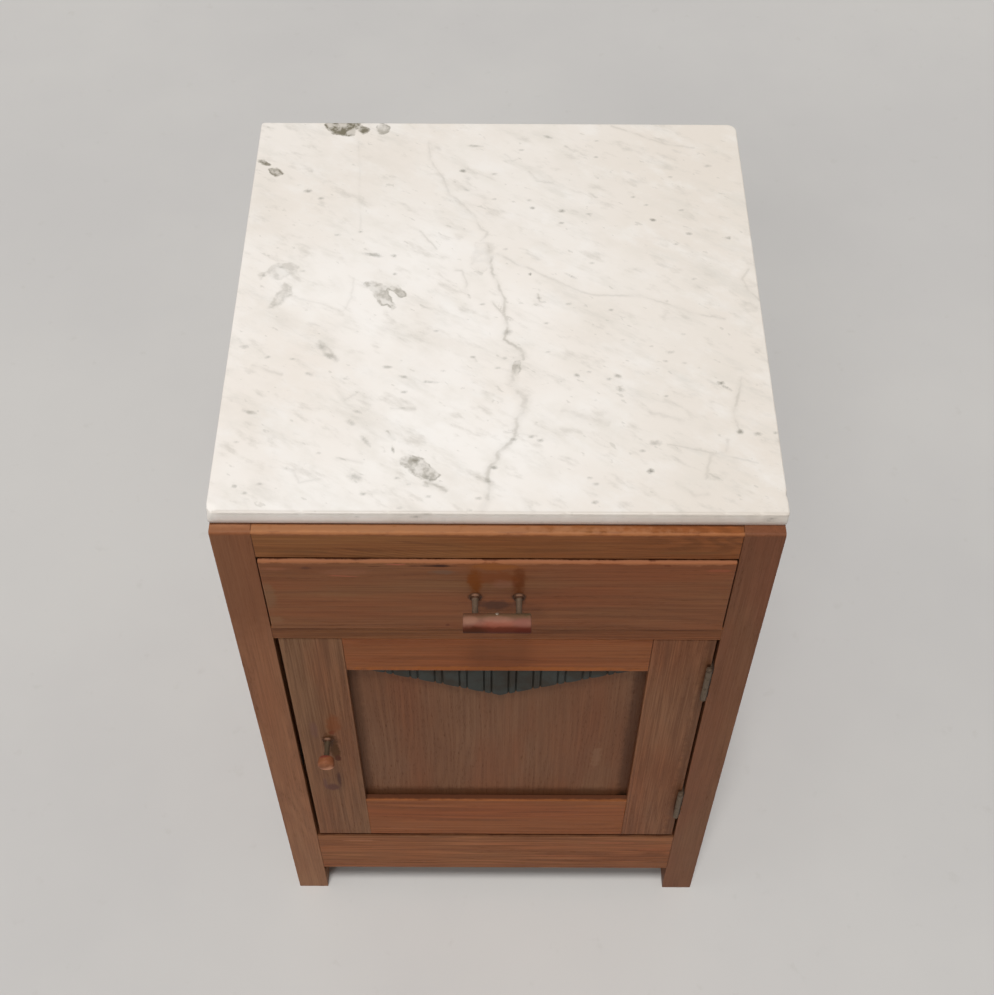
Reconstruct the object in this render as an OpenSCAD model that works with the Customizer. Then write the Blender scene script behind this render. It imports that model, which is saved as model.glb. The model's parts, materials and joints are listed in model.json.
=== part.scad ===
// Bedside pot cupboard: oak frame, loose marble slab, one drawer, one panelled door with a
// fluted ornament. Millimetres, +X right, +Y to the back, +Z up. Origin: centre of the
// footprint box (pull to slab's back edge) on the floor.

/* [Whole body] */
// Width over the posts
body_w = 437; // [405:1:480]
// Depth over the posts, without the drawer's pull
body_d = 452; // [410:1:500]
// Height of the wooden frame, floor to underside of the slab
frame_h = 686; // [650:1:740]
// Height of the open feet, floor to lower edge of the bottom rails
foot_h = 54; // [40:1:70]

/* [Slab] */
// Thickness of the marble slab
slab_t = 14; // [10:0.5:24]
// How far the slab reaches past the posts on each side
slab_side = 1.5; // [0:0.5:12]
// How far the slab's front face stands behind the posts' front faces
slab_set = 8.6; // [0:0.2:16]
// How far the slab reaches past the back posts
slab_back = 4.6; // [0:0.2:14]
// Radius of the slab's three sharper corners, seen from above
slab_corner = 3; // [1:0.5:8]
// Radius of the slab's rounded back right corner
slab_worn_corner = 9; // [2:0.5:16]

/* [Posts] */
// Width of a post, seen from the front
post_w = 31.5; // [29:0.5:38]
// Depth of a post, seen from the side
post_d = 31.5; // [29:0.5:38]
// Rounding of the worn top front edge of the frame
edge_r = 2.5; // [1:0.5:6]

/* [Front rails] */
// Height of the rail above the drawer
top_rail_h = 33; // [28:1:44]
// Height of the opening for the drawer
bay_h = 102; // [90:1:124]
// Height of the rail between drawer and door
divider_h = 18; // [16:1:24]
// Height of the bottom rails
bottom_rail_h = 83; // [64:1:100]
// Thickness of the front bottom rail
rail_t = 22; // [18:0.5:25]

/* [Sides and back] */
// Thickness of the side and back rails
side_rail_t = 20; // [18:0.5:24]
// How far side and back rails stand in from the posts' outer faces
side_set = 1; // [0:0.25:2]
// Height of the side and back rails under the slab
side_top_h = 60; // [46:1:80]
// Thickness of the side and back panels
panel_t = 7; // [5:0.5:8]
// How far those panels stand behind the faces of their rails
panel_set = 6; // [4:0.5:7]
// How deep a panel's edge sits in its groove
groove = 6; // [4:0.5:8]
// Thickness of a tenon
tenon_t = 8; // [6:0.5:9]

/* [Inside] */
// Thickness of the cupboard's floor board
floor_t = 12; // [8:0.5:16]
// How far the floor board lies below the top of the bottom rail
floor_drop = 3; // [1:0.5:8]
// Side of the square strips that carry the floor board
cleat = 20; // [12:1:24]
// Width of a drawer runner, from the side panel inwards
runner_w = 44; // [38:1:60]
// Thickness of the dust board under the drawer
dust_t = 6; // [4:0.5:8]
// How deep the dust board sits in its grooves
dust_groove = 5; // [3:0.5:7]
// Height of the strips that guide the drawer at its sides
guide_h = 20; // [12:1:26]
// Width of the strips above the drawer sides, measured from the side rail
kicker_w = 25; // [20:1:34]
// Height of the strips above the drawer sides
kicker_h = 20; // [12:1:26]
// Depth of the strip that the closed door meets
stop_w = 10; // [7:0.5:14]
// Height of the two drawer stops
drawer_stop_h = 6; // [4:0.5:7]
// Length of a drawer stop, along the divider
drawer_stop_w = 30; // [20:1:50]

/* [Drawer] */
// How far the drawer's front stands out of the posts
drawer_proud = 2; // [0:0.5:5]
// Thickness of the drawer's front
drawer_front_t = 20; // [17:0.5:22]
// Gap above and below the drawer's front
drawer_gap = 2; // [1:0.25:3]
// Gap at each end of the drawer's front
drawer_side_gap = 1.4; // [1:0.1:2.5]
// Rounding of the drawer front's upper front edge
drawer_edge_r = 3; // [1:0.5:4]
// Thickness of the drawer's sides
drawer_side_t = 10; // [8:0.5:12]
// Room above the drawer's sides
drawer_top_room = 4; // [2:0.5:8]
// Room behind the drawer
drawer_back_room = 16; // [8:1:30]
// Thickness of the drawer's bottom
drawer_bottom_t = 6; // [4:0.5:8]
// Height of the drawer bottom's underside above the runners
drawer_bottom_up = 8; // [7.5:0.5:10]
// Wood left in front of the dovetails
dovetail_lap = 7; // [5:0.5:8]
// How much wider a dovetail is at its end, on each side
dovetail_flare = 2; // [0.5:0.25:3]

/* [Drawer pull] */
// Distance between the two stems
pull_pitch = 35; // [26:1:42]
// Length of the round wooden bar
pull_len = 54; // [50:1:80]
// Radius of the bar
pull_r = 8; // [6.5:0.25:9]
// Distance of the bar's axis from the posts' front faces
pull_reach = 27; // [22:0.5:34]
// Radius of a stem
stem_r = 2.75; // [2:0.25:3.25]
// Radius of the small collars at the foot of stems
collar_r = 5.25; // [4.5:0.25:6]
// Thickness of those collars
collar_t = 3; // [2:0.25:4]
// Radius of the nail's domed head on the bar
nail_r = 1.6; // [1.2:0.1:2]

/* [Door] */
// How far the door stands behind the posts' front faces
door_set = 1; // [0.5:0.25:2]
// Thickness of the door's frame
door_t = 20; // [18:0.5:22]
// Gap above the door
door_gap_top = 1.5; // [1:0.25:3]
// Gap below the door
door_gap_low = 3; // [1:0.25:4]
// Gap at the door's free edge
door_gap_free = 3.8; // [3.6:0.1:5]
// Gap at the hinged edge; both hinge leaves fill it
door_gap_hinge = 2.5; // [2:0.1:3.4]
// Width of the door's stiles
stile_w = 53; // [44:1:62]
// Height of the door's top rail
door_top_h = 52.7; // [42:0.5:62]
// Height of the door's bottom rail
door_low_h = 80.5; // [64:0.5:96]
// How far the door's panel stands behind the frame's face
recess = 7; // [6:0.25:8]
// Thickness of the door's panel
door_panel_t = 7; // [5:0.5:8]
// Length of the tenons in the door
door_tenon = 25; // [16:1:30]

/* [Ornament] */
// Depth of the triangle below the door's top rail
orn_drop = 47.5; // [34:0.5:60]
// Free panel between the triangle's ends and the stiles, if it sat in the middle
orn_gap = 7.5; // [5:0.5:14]
// How far the triangle sits to the right of the panel's middle
orn_side = 2.5; // [-4:0.5:4]
// Thickness of the ornament in front of the panel
orn_t = 5; // [4:0.25:5.5]
// Distance from one narrow rib to the next
flute_pitch = 21.5; // [18:0.5:26]
// Width of a narrow rib
rib_w = 6.5; // [5:0.25:8]
// Depth of the grooves on both sides of a rib
vee = 1.6; // [0.8:0.1:2]

/* [Door knob] */
// Distance of the knob's axis from the door's free edge
knob_in = 26; // [18:0.5:30]
// Distance of the knob's axis from the top of the frame
knob_down = 336; // [300:1:370]
// Radius of the wooden grip
grip_r = 7.8; // [6.5:0.1:9]
// Length of the wooden grip
grip_len = 10; // [8:0.5:13]
// Distance of the grip's middle from the posts' front faces
grip_reach = 23; // [19:0.5:28]

/* [Hinges and catch] */
// Radius of a hinge's barrel
barrel_r = 2.75; // [2.4:0.05:3.2]
// Radius of a hinge's pin
pin_r = 1.3; // [1:0.05:1.6]
// Length of a hinge
hinge_len = 51; // [48:1:66]
// How far the barrel's middle lies left of the middle of the gap
barrel_in = 2.9; // [0:0.1:3.2]
// Distance of the upper hinge's middle from the top of the frame
hinge_up = 222; // [205:1:245]
// Distance of the lower hinge's middle from the top of the frame
hinge_low = 466; // [440:1:495]
// Depth of a hinge's leaves, from the posts' front faces
leaf_d = 18; // [16:0.5:20]
// Radius of the screws
screw_r = 1.5; // [1.2:0.1:1.8]
// Length of the screws in the wood
screw_len = 14; // [10:0.5:18]
// Distance of the catch below the knob
catch_down = 45; // [30:1:70]
// Radius of the catch's ball
ball_r = 3; // [2.4:0.1:3.4]
// How far the ball stands out of the door's edge
ball_out = 1.9; // [1:0.1:2]

/* [Clearances] */
// Radial clearance of the hinge pin in the door's knuckles
run_fit = 0.05; // [0.02:0.01:0.09]
// Radial clearance of fixed round pieces in their holes
seat_fit = 0.08; // [0.05:0.01:0.12]
// Space between neighbouring knuckles
knuckle_gap = 0.4; // [0.3:0.05:0.6]
// Space between the two leaves of a closed hinge
leaf_gap = 0.1; // [0.05:0.05:0.3]
// Space between a turning barrel and fixed pieces
turn_gap = 0.35; // [0.3:0.05:0.5]
// Space between closed door or drawer and its stop
stop_gap = 0.3; // [0.1:0.1:0.6]
// Space between the drawer's sides and their guides
guide_gap = 1.5; // [0.8:0.1:2]

/* [Hidden] */
$fn = 48;
eps = 0.01;                              // cutters reach this far past a face
x_out = body_w / 2;                      // outer face of the right posts
x_in = x_out - post_w;                   // inner face of the right posts
y_mid = (body_d + slab_back - pull_reach - pull_r) / 2;   // middle of the footprint box
y_bp = body_d - post_d;                  // front faces of the back posts
z_rail = frame_h - top_rail_h;           // underside of the top rail
z_run = z_rail - bay_h;                  // top of divider and runners
z_div = z_run - divider_h;               // underside of the divider
z_low = foot_h + bottom_rail_h;          // top of the bottom rail
z_side = frame_h - side_top_h;           // underside of side and back top rails
tenon_len = 0.4 * post_w;                // tenons across the front and back
tenon_dep = 0.4 * post_d;                // tenons along the sides
tenon_in = side_set + 6;                 // outer face of a side tenon, from the post's outer face
front_tenon_y = 7;                       // front face of a front tenon
shoulder = 6;                            // a tenon is this much lower than its rail, each side
div_shoulder = divider_h / 4;
rail_in = x_out - side_set - side_rail_t;       // inner face of the right side rails
pan_out = x_out - side_set - panel_set;         // outer face of the right side panel
pan_in = pan_out - panel_t;                     // inner face of the right side panel
back_rail_y = body_d - side_set - side_rail_t;  // front face of the back rails
back_pan_y = body_d - side_set - panel_set - panel_t;   // front face of the back panel
floor_z = z_low - floor_drop;            // top of the floor board
run_in = pan_in - runner_w;              // inner face of the right runner
dust_z = z_div + (divider_h - dust_t) / 2;

df_x = x_in - drawer_side_gap;           // end of the drawer's front
df_y0 = -drawer_proud;
df_y1 = df_y0 + drawer_front_t;
df_z0 = z_run + drawer_gap;
df_z1 = z_rail - drawer_gap;
ds_x = min(df_x, x_in - guide_gap);      // outer face of the drawer's sides
ds_y0 = df_y0 + dovetail_lap;
ds_y1 = back_pan_y - side_rail_t - drawer_back_room + panel_t;
ds_z1 = z_rail - drawer_top_room;
dado = 4;                                // depth of the housing for the drawer's back
d_groove = 5;                            // depth of the groove for the drawer's bottom
db_z = z_run + drawer_bottom_up;
tails = 3;
tail_room = ds_z1 - z_run;
tail_pitch = tail_room / tails;
tail_neck = 0.42 * tail_pitch;

door_l = -x_in + door_gap_free;
door_r = x_in - door_gap_hinge;
door_z0 = z_low + door_gap_low;
door_z1 = z_div - door_gap_top;
door_y0 = door_set;
door_y1 = door_set + door_t;
pl = door_l + stile_w;                   // panel opening
pr = door_r - stile_w;
pz0 = door_z0 + door_low_h;
pz1 = door_z1 - door_top_h;
dp_y0 = door_y0 + recess;
dp_y1 = dp_y0 + door_panel_t;
d_slot = 7;                              // depth of the door's panel groove
knob_x = door_l + knob_in;
knob_z = frame_h - knob_down;
pull_z = (df_z0 + df_z1) / 2;
pull_y = -pull_reach;
nail_turn = -35;                         // the nail leans this far back from upright

hinge_x = x_in - door_gap_hinge / 2 - barrel_in;
hinge_y = -(barrel_r + turn_gap);
leaf_t = (door_gap_hinge - leaf_gap) / 2;
leaf_y0 = hinge_y + barrel_r + turn_gap;
neck_y = hinge_y + barrel_r - leaf_t;    // front face of the knuckles' necks
hinge_zs = [frame_h - hinge_up, frame_h - hinge_low];
knuckles = 5;
knuckle_h = (hinge_len - (knuckles - 1) * knuckle_gap) / knuckles;
screw_rows = [-0.34, 0, 0.34];
screw_head_r = screw_r * 2;
screw_y = leaf_d * 0.56;
catch_z = knob_z - catch_down;
catch_y = door_y0 + door_t / 2;
catch_r = 4.5;                           // the catch's barrel
catch_len = 18;
strike_t = 1.2;
strike_w = 12;
strike_h = 32;
stem_in = 2;                             // stems and screws reach this far past a nut
nut_r = 1.85 * stem_r;
nut_t = 3;

oak_post = [0.49, 0.33, 0.25];
oak_rail = [0.45, 0.28, 0.18];
oak_door = [0.44, 0.31, 0.25];
oak_panel = [0.40, 0.27, 0.20];
oak_inside = [0.62, 0.47, 0.33];
marble_white = [0.94, 0.91, 0.88];
ebony_black = [0.11, 0.11, 0.10];
grip_red = [0.50, 0.26, 0.18];
metal_aged = [0.24, 0.20, 0.17];
metal_bright = [0.62, 0.58, 0.52];

// ---------- helpers ----------
module home() translate([0, -y_mid, 0]) children();

// box between two corners
module block(lo, hi) translate(lo) cube(hi - lo);

// box between two corners whose upper front edge is rounded
module round_block(lo, hi, r) {
  block([lo[0], lo[1] + r, lo[2]], hi);
  block(lo, [hi[0], lo[1] + r, hi[2] - r]);
  translate([lo[0], lo[1] + r, hi[2] - r]) rotate([0, 90, 0]) cylinder(r = r, h = hi[0] - lo[0]);
}

// round rod between two points on one axis: "x" or "y" or "z"
module rod(p, len, r, dir) translate(p)
  rotate(dir == "x" ? [0, 90, 0] : dir == "y" ? [-90, 0, 0] : [0, 0, 0])
  cylinder(r = r, h = len);

// ---------- carcass ----------
// tenons of the front rails: z range of each
function front_tenons() = [[z_rail + shoulder, frame_h - shoulder],
  [z_div + div_shoulder, z_run - div_shoulder],
  [foot_h + shoulder, z_low - shoulder]];
function wide_tenons() = [[z_side + groove + 1, frame_h - shoulder],
  [foot_h + shoulder, z_low - groove - 1]];

// slots for the tenons of the side rails and for the side panel, in a left hand post
module side_slots(y_face, dir) {
  ya = dir > 0 ? y_face - tenon_dep : y_face - eps;
  yb = dir > 0 ? y_face + eps : y_face + tenon_dep;
  for (t = wide_tenons())
    block([-x_out + tenon_in, ya, t[0]], [-x_out + tenon_in + tenon_t, yb, t[1]]);
  ga = dir > 0 ? y_face - groove : y_face - eps;
  gb = dir > 0 ? y_face + eps : y_face + groove;
  block([-pan_out, ga, z_low - groove], [-pan_in, gb, z_side + groove]);
}

module post_front_blank() {
  difference() {
    round_block([-x_out, 0, 0], [-x_in, post_d, frame_h], edge_r);
    for (t = front_tenons())
      block([-x_in - tenon_len, front_tenon_y, t[0]],
        [-x_in + eps, front_tenon_y + tenon_t, t[1]]);
    side_slots(post_d, 1);
  }
}

module post_back_blank() {
  difference() {
    block([-x_out, y_bp, 0], [-x_in, body_d, frame_h]);
    for (t = wide_tenons())
      block([-x_in - tenon_len, body_d - tenon_in - tenon_t, t[0]],
        [-x_in + eps, body_d - tenon_in, t[1]]);
    block([-x_in - groove, back_pan_y, z_low - groove],
      [-x_in + eps, back_pan_y + panel_t, z_side + groove]);
    side_slots(y_bp, -1);
  }
}

module post_front_left() color(oak_post) home() difference() {
  post_front_blank();
  for (s = [-1, 1])
    rod([-x_in - screw_len * 0.6, catch_y, catch_z + s * strike_h * 0.36],
      screw_len * 0.6 + eps, screw_r + seat_fit, "x");
}

module post_front_right() color(oak_post) home() difference() {
  mirror([1, 0, 0]) post_front_blank();
  for (z = hinge_zs, k = screw_rows)
    rod([x_in - eps, screw_y, z + k * hinge_len], screw_len + eps, screw_r + seat_fit, "x");
}

module post_back_left() color(oak_post) home() post_back_blank();
module post_back_right() color(oak_post) home() mirror([1, 0, 0]) post_back_blank();

// both tenons of a front rail
module front_tenon_pair(t) for (s = [-1, 1])
  block([s > 0 ? x_in - eps : -x_in - tenon_len, front_tenon_y, t[0]],
    [s > 0 ? x_in + tenon_len : -x_in + eps, front_tenon_y + tenon_t, t[1]]);

module front_top_rail() color(oak_rail) home() {
  round_block([-x_in, 0, z_rail], [x_in, post_d, frame_h], edge_r);
  front_tenon_pair(front_tenons()[0]);
}

module drawer_divider_rail() color(oak_rail) home() {
  difference() {
    block([-x_in, 0, z_div], [x_in, post_d, z_run]);
    block([-run_in, post_d - dust_groove, dust_z], [run_in, post_d + eps, dust_z + dust_t]);
  }
  front_tenon_pair(front_tenons()[1]);
}

module front_bottom_rail() color(oak_rail) home() {
  block([-x_in, 0, foot_h], [x_in, rail_t, z_low]);
  front_tenon_pair(front_tenons()[2]);
}

// a left side rail: body, its two tenons and the panel's groove
module side_rail(z0, z1, t, slot_up) difference() {
  union() {
    block([-x_out + side_set, post_d, z0], [-rail_in, y_bp, z1]);
    block([-x_out + tenon_in, post_d - tenon_dep, t[0]],
      [-x_out + tenon_in + tenon_t, y_bp + tenon_dep, t[1]]);
  }
  block([-pan_out, post_d - eps, slot_up ? z1 - groove : z0 - eps],
    [-pan_in, y_bp + eps, slot_up ? z1 + eps : z0 + groove]);
}
module side_top_rail_left() color(oak_rail) home()
  side_rail(z_side, frame_h, wide_tenons()[0], false);
module side_top_rail_right() color(oak_rail) home() mirror([1, 0, 0])
  side_rail(z_side, frame_h, wide_tenons()[0], false);
module side_bottom_rail_left() color(oak_rail) home()
  side_rail(foot_h, z_low, wide_tenons()[1], true);
module side_bottom_rail_right() color(oak_rail) home() mirror([1, 0, 0])
  side_rail(foot_h, z_low, wide_tenons()[1], true);

module side_panel(s) home() block([s > 0 ? pan_in : -pan_out, post_d - groove, z_low - groove],
  [s > 0 ? pan_out : -pan_in, y_bp + groove, z_side + groove]);
module side_panel_left() color(oak_panel) side_panel(-1);
module side_panel_right() color(oak_panel) side_panel(1);

module back_rail(z0, z1, t, slot_up) difference() {
  union() {
    block([-x_in, back_rail_y, z0], [x_in, body_d - side_set, z1]);
    block([-x_in - tenon_len, body_d - tenon_in - tenon_t, t[0]],
      [x_in + tenon_len, body_d - tenon_in, t[1]]);
  }
  block([-x_in - eps, back_pan_y, slot_up ? z1 - groove : z0 - eps],
    [x_in + eps, back_pan_y + panel_t, slot_up ? z1 + eps : z0 + groove]);
}
module back_top_rail() color(oak_rail) home()
  back_rail(z_side, frame_h, wide_tenons()[0], false);
module back_bottom_rail() color(oak_rail) home()
  back_rail(foot_h, z_low, wide_tenons()[1], true);
module back_panel() color(oak_inside) home()
  block([-x_in - groove, back_pan_y, z_low - groove],
    [x_in + groove, back_pan_y + panel_t, z_side + groove]);

module floor_board() color(oak_inside) home() {
  block([-x_in, rail_t, floor_z - floor_t], [x_in, back_rail_y, floor_z]);
  for (s = [-1, 1]) block([s > 0 ? x_in - eps : -rail_in, post_d, floor_z - floor_t],
    [s > 0 ? rail_in : -x_in + eps, y_bp, floor_z]);
}
module floor_cleats() color(oak_inside) home() for (s = [-1, 1])
  block([s > 0 ? rail_in - cleat : -rail_in, post_d, floor_z - floor_t - cleat],
    [s > 0 ? rail_in : -rail_in + cleat, y_bp, floor_z - floor_t]);

module runner() difference() {
  block([-pan_in, post_d, z_div], [-run_in, y_bp, z_run]);
  block([-run_in - dust_groove, post_d - eps, dust_z], [-run_in + eps, y_bp + eps,
    dust_z + dust_t]);
}
module drawer_runner_left() color(oak_inside) home() runner();
module drawer_runner_right() color(oak_inside) home() mirror([1, 0, 0]) runner();

module dust_board() color(oak_inside) home() {
  block([-run_in, post_d - dust_groove, dust_z], [run_in, back_pan_y, dust_z + dust_t]);
  block([-run_in - dust_groove, post_d, dust_z], [run_in + dust_groove, y_bp, dust_z + dust_t]);
}

module drawer_guides() color(oak_inside) home() for (s = [-1, 1])
  block([s > 0 ? ds_x + guide_gap : -pan_in, post_d, z_run],
    [s > 0 ? pan_in : -ds_x - guide_gap, y_bp, z_run + guide_h]);

module drawer_kickers() color(oak_inside) home() for (s = [-1, 1])
  block([s > 0 ? rail_in - kicker_w : -rail_in, post_d, z_rail],
    [s > 0 ? rail_in : -rail_in + kicker_w, y_bp, z_rail + kicker_h]);

module drawer_stops() color(oak_inside) home() for (s = [-1, 1])
  translate([s * x_in / 2, 0, 0])
    block([-drawer_stop_w / 2, df_y1 + stop_gap, z_run],
      [drawer_stop_w / 2, post_d, z_run + drawer_stop_h]);

module door_stop() color(oak_inside) home()
  block([-x_in, door_y1 + stop_gap, z_low], [-x_in + stop_w, post_d, z_div]);

// slab: rounded corners made of cylinders, so they stay true arcs
module marble_top() color(marble_white) home() {
  x1 = x_out + slab_side;
  y0 = slab_set;
  y1 = body_d + slab_back;
  c = slab_corner;
  w = slab_worn_corner;
  z0 = frame_h;
  z1 = frame_h + slab_t;
  difference() {
    block([-x1, y0, z0], [x1, y1, z1]);
    for (q = [[-x1 - eps, y0 - eps, c], [x1 - c, y0 - eps, c], [-x1 - eps, y1 - c, c],
        [x1 - w, y1 - w, w]])
      translate([q[0], q[1], z0 - eps]) cube([q[2] + eps, q[2] + eps, slab_t + 2 * eps]);
  }
  for (q = [[-x1 + c, y0 + c, c], [x1 - c, y0 + c, c], [-x1 + c, y1 - c, c], [x1 - w, y1 - w, w]])
    rod([q[0], q[1], z0], slab_t, q[2], "z");
}

// ---------- hinges ----------
// one leaf: plate, and the knuckles of its own side with their necks, which leave the barrel
// behind and reach over to the plate in the gap
module leaf(zc, frame_side) {
  z0 = zc - hinge_len / 2;
  xa = frame_side ? x_in - leaf_t : x_in - door_gap_hinge;
  own = frame_side ? [0, 2, 4] : [1, 3];
  bore = frame_side ? pin_r + seat_fit : pin_r + run_fit;
  difference() {
    union() {
      block([xa, leaf_y0, z0], [xa + leaf_t, leaf_d, z0 + hinge_len]);
      for (k = own) {
        zk = z0 + k * (knuckle_h + knuckle_gap);
        rod([hinge_x, hinge_y, zk], knuckle_h, barrel_r, "z");
        block([min(hinge_x, xa), neck_y, zk], [xa + leaf_t, neck_y + leaf_t, zk + knuckle_h]);
        block([xa, neck_y, zk], [xa + leaf_t, leaf_y0 + eps, zk + knuckle_h]);
      }
    }
    rod([hinge_x, hinge_y, z0 - eps], hinge_len + 2 * eps, bore, "z");
    for (k = screw_rows) translate([0, screw_y, zc + k * hinge_len])
      if (frame_side) translate([xa - eps, 0, 0]) rotate([0, 90, 0])
        cylinder(r1 = screw_head_r + seat_fit, r2 = screw_r + seat_fit, h = leaf_t + 2 * eps);
      else translate([xa - eps, 0, 0]) rotate([0, 90, 0])
        cylinder(r1 = screw_r + seat_fit, r2 = screw_head_r + seat_fit, h = leaf_t + 2 * eps);
  }
}
module hinge_frame_leaf_upper() color(metal_aged) home() leaf(hinge_zs[0], true);
module hinge_frame_leaf_lower() color(metal_aged) home() leaf(hinge_zs[1], true);
module hinge_door_leaf_upper() color(metal_aged) home() leaf(hinge_zs[0], false);
module hinge_door_leaf_lower() color(metal_aged) home() leaf(hinge_zs[1], false);

// pins with a flat cap above and below the barrel
module hinge_pins() color(metal_aged) home() for (z = hinge_zs) {
  rod([hinge_x, hinge_y, z - hinge_len / 2], hinge_len, pin_r, "z");
  for (s = [-1, 1]) rod([hinge_x, hinge_y, z + s * (hinge_len / 2 + pin_r / 2) - pin_r / 2],
    pin_r, pin_r * 1.6, "z");
}

module screw(dir) rotate([0, dir * 90, 0]) {
  cylinder(r1 = screw_head_r, r2 = screw_r, h = leaf_t);
  cylinder(r = screw_r, h = leaf_t + screw_len * 0.75);
  translate([0, 0, leaf_t + screw_len * 0.75])
    cylinder(r1 = screw_r, r2 = screw_r / 4, h = screw_len * 0.2);
}
module hinge_frame_screws() color(metal_aged) home() for (z = hinge_zs, k = screw_rows)
  translate([x_in - leaf_t, screw_y, z + k * hinge_len]) screw(1);
module hinge_door_screws() color(metal_aged) home() for (z = hinge_zs, k = screw_rows)
  translate([x_in - door_gap_hinge + leaf_t, screw_y, z + k * hinge_len]) screw(-1);

// ---------- catch ----------
module strike_plate() color(metal_aged) home() difference() {
  block([-x_in, catch_y - strike_w / 2, catch_z - strike_h / 2],
    [-x_in + strike_t, catch_y + strike_w / 2, catch_z + strike_h / 2]);
  rod([-x_in - eps, catch_y, catch_z], strike_t + 2 * eps, ball_r, "x");
  for (s = [-1, 1]) translate([-x_in - eps, catch_y, catch_z + s * strike_h * 0.36])
    rotate([0, 90, 0])
    cylinder(r1 = screw_r + seat_fit, r2 = screw_head_r + seat_fit, h = strike_t + 2 * eps);
}
module strike_screws() color(metal_aged) home() for (s = [-1, 1])
  translate([-x_in + strike_t, catch_y, catch_z + s * strike_h * 0.36]) rotate([0, -90, 0]) {
    cylinder(r1 = screw_head_r, r2 = screw_r, h = strike_t);
    cylinder(r = screw_r, h = strike_t + screw_len * 0.5);
  }
module catch_barrel() color(metal_bright) home() difference() {
  rod([door_l, catch_y, catch_z], catch_len, catch_r, "x");
  rod([door_l - eps, catch_y, catch_z], catch_len * 0.7, ball_r + seat_fit, "x");
}
module catch_ball() color(metal_bright) home()
  translate([door_l - ball_out + ball_r, catch_y, catch_z]) sphere(r = ball_r);

// ---------- door ----------
module door_slot(lo, hi) block([lo[0], dp_y0, lo[1]], [hi[0], dp_y1, hi[1]]);
d_tenons = [[pz1 + d_slot + 1, door_z1 - shoulder], [door_z0 + shoulder, pz0 - d_slot - 1]];

module door_stile_left() color(oak_door) home() difference() {
  block([door_l, door_y0, door_z0], [pl, door_y1, door_z1]);
  door_slot([pl - d_slot, pz0 - d_slot], [pl + eps, pz1 + d_slot]);
  for (t = d_tenons) door_slot([pl - door_tenon, t[0]], [pl + eps, t[1]]);
  rod([knob_x, door_y0 - eps, knob_z], door_t + 2 * eps, stem_r + seat_fit, "y");
  rod([door_l - eps, catch_y, catch_z], catch_len + eps, catch_r + seat_fit, "x");
}
module door_stile_right() color(oak_door) home() difference() {
  block([pr, door_y0, door_z0], [door_r, door_y1, door_z1]);
  door_slot([pr - eps, pz0 - d_slot], [pr + d_slot, pz1 + d_slot]);
  for (t = d_tenons) door_slot([pr - eps, t[0]], [pr + door_tenon, t[1]]);
  for (z = hinge_zs, k = screw_rows)
    rod([door_r - screw_len, screw_y, z + k * hinge_len], screw_len + eps,
      screw_r + seat_fit, "x");
}
module door_rail(z0, z1, t, slot_up) difference() {
  union() {
    block([pl, door_y0, z0], [pr, door_y1, z1]);
    door_slot([pl - door_tenon, t[0]], [pr + door_tenon, t[1]]);
  }
  door_slot([pl - eps, slot_up ? z1 - d_slot : z0 - eps], [pr + eps, slot_up ? z1 + eps :
    z0 + d_slot]);
}
module door_top_rail() color(oak_rail) home() door_rail(pz1, door_z1, d_tenons[0], false);
module door_bottom_rail() color(oak_rail) home() door_rail(door_z0, pz0, d_tenons[1], true);
module door_panel() color(oak_panel) home()
  door_slot([pl - d_slot, pz0 - d_slot], [pr + d_slot, pz1 + d_slot]);

// triangle with pairs of upright grooves, a narrow rib between the two of each pair
module door_ornament() color(ebony_black) home() {
  xm = (pl + pr) / 2 + orn_side;
  half = (pr - pl) / 2 - orn_gap;
  pairs = floor(half / flute_pitch + 0.5);
  translate([xm, dp_y0, 0]) difference() {
    rotate([90, 0, 0]) linear_extrude(orn_t)
      polygon([[-half, pz1], [half, pz1], [0, pz1 - orn_drop]]);
    for (i = [-pairs : pairs - 1], s = [-1, 1])
      translate([(i + 0.5) * flute_pitch + s * rib_w / 2, -orn_t, pz1 - orn_drop - eps])
        rotate([0, 0, 45]) translate([-vee / sqrt(2), -vee / sqrt(2), 0])
        cube([vee * sqrt(2), vee * sqrt(2), orn_drop + 2 * eps]);
  }
}

// ---------- knob ----------
knob_y = -grip_reach;
module knob_collar() color(metal_aged) home() difference() {
  rod([knob_x, door_y0 - collar_t, knob_z], collar_t, collar_r, "y");
  rod([knob_x, door_y0 - collar_t - eps, knob_z], collar_t + 2 * eps, stem_r + seat_fit, "y");
}
module knob_stem() color(metal_aged) home()
  rod([knob_x, knob_y - grip_len / 4, knob_z], door_y1 + nut_t + stem_in - knob_y + grip_len / 4,
    stem_r, "y");
module knob_grip() color(grip_red) home() difference() {
  rod([knob_x, knob_y - grip_len / 2, knob_z], grip_len, grip_r, "y");
  rod([knob_x, knob_y - grip_len / 4 - seat_fit, knob_z], grip_len, stem_r + seat_fit, "y");
}
module nut_at(x, y, z) translate([x, y, z]) rotate([-90, 0, 0]) difference() {
  cylinder(r = nut_r, h = nut_t, $fn = 6);
  translate([0, 0, -eps]) cylinder(r = stem_r + seat_fit, h = nut_t + 2 * eps);
}
module knob_nut() color(metal_aged) home() nut_at(knob_x, door_y1, knob_z);

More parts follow.
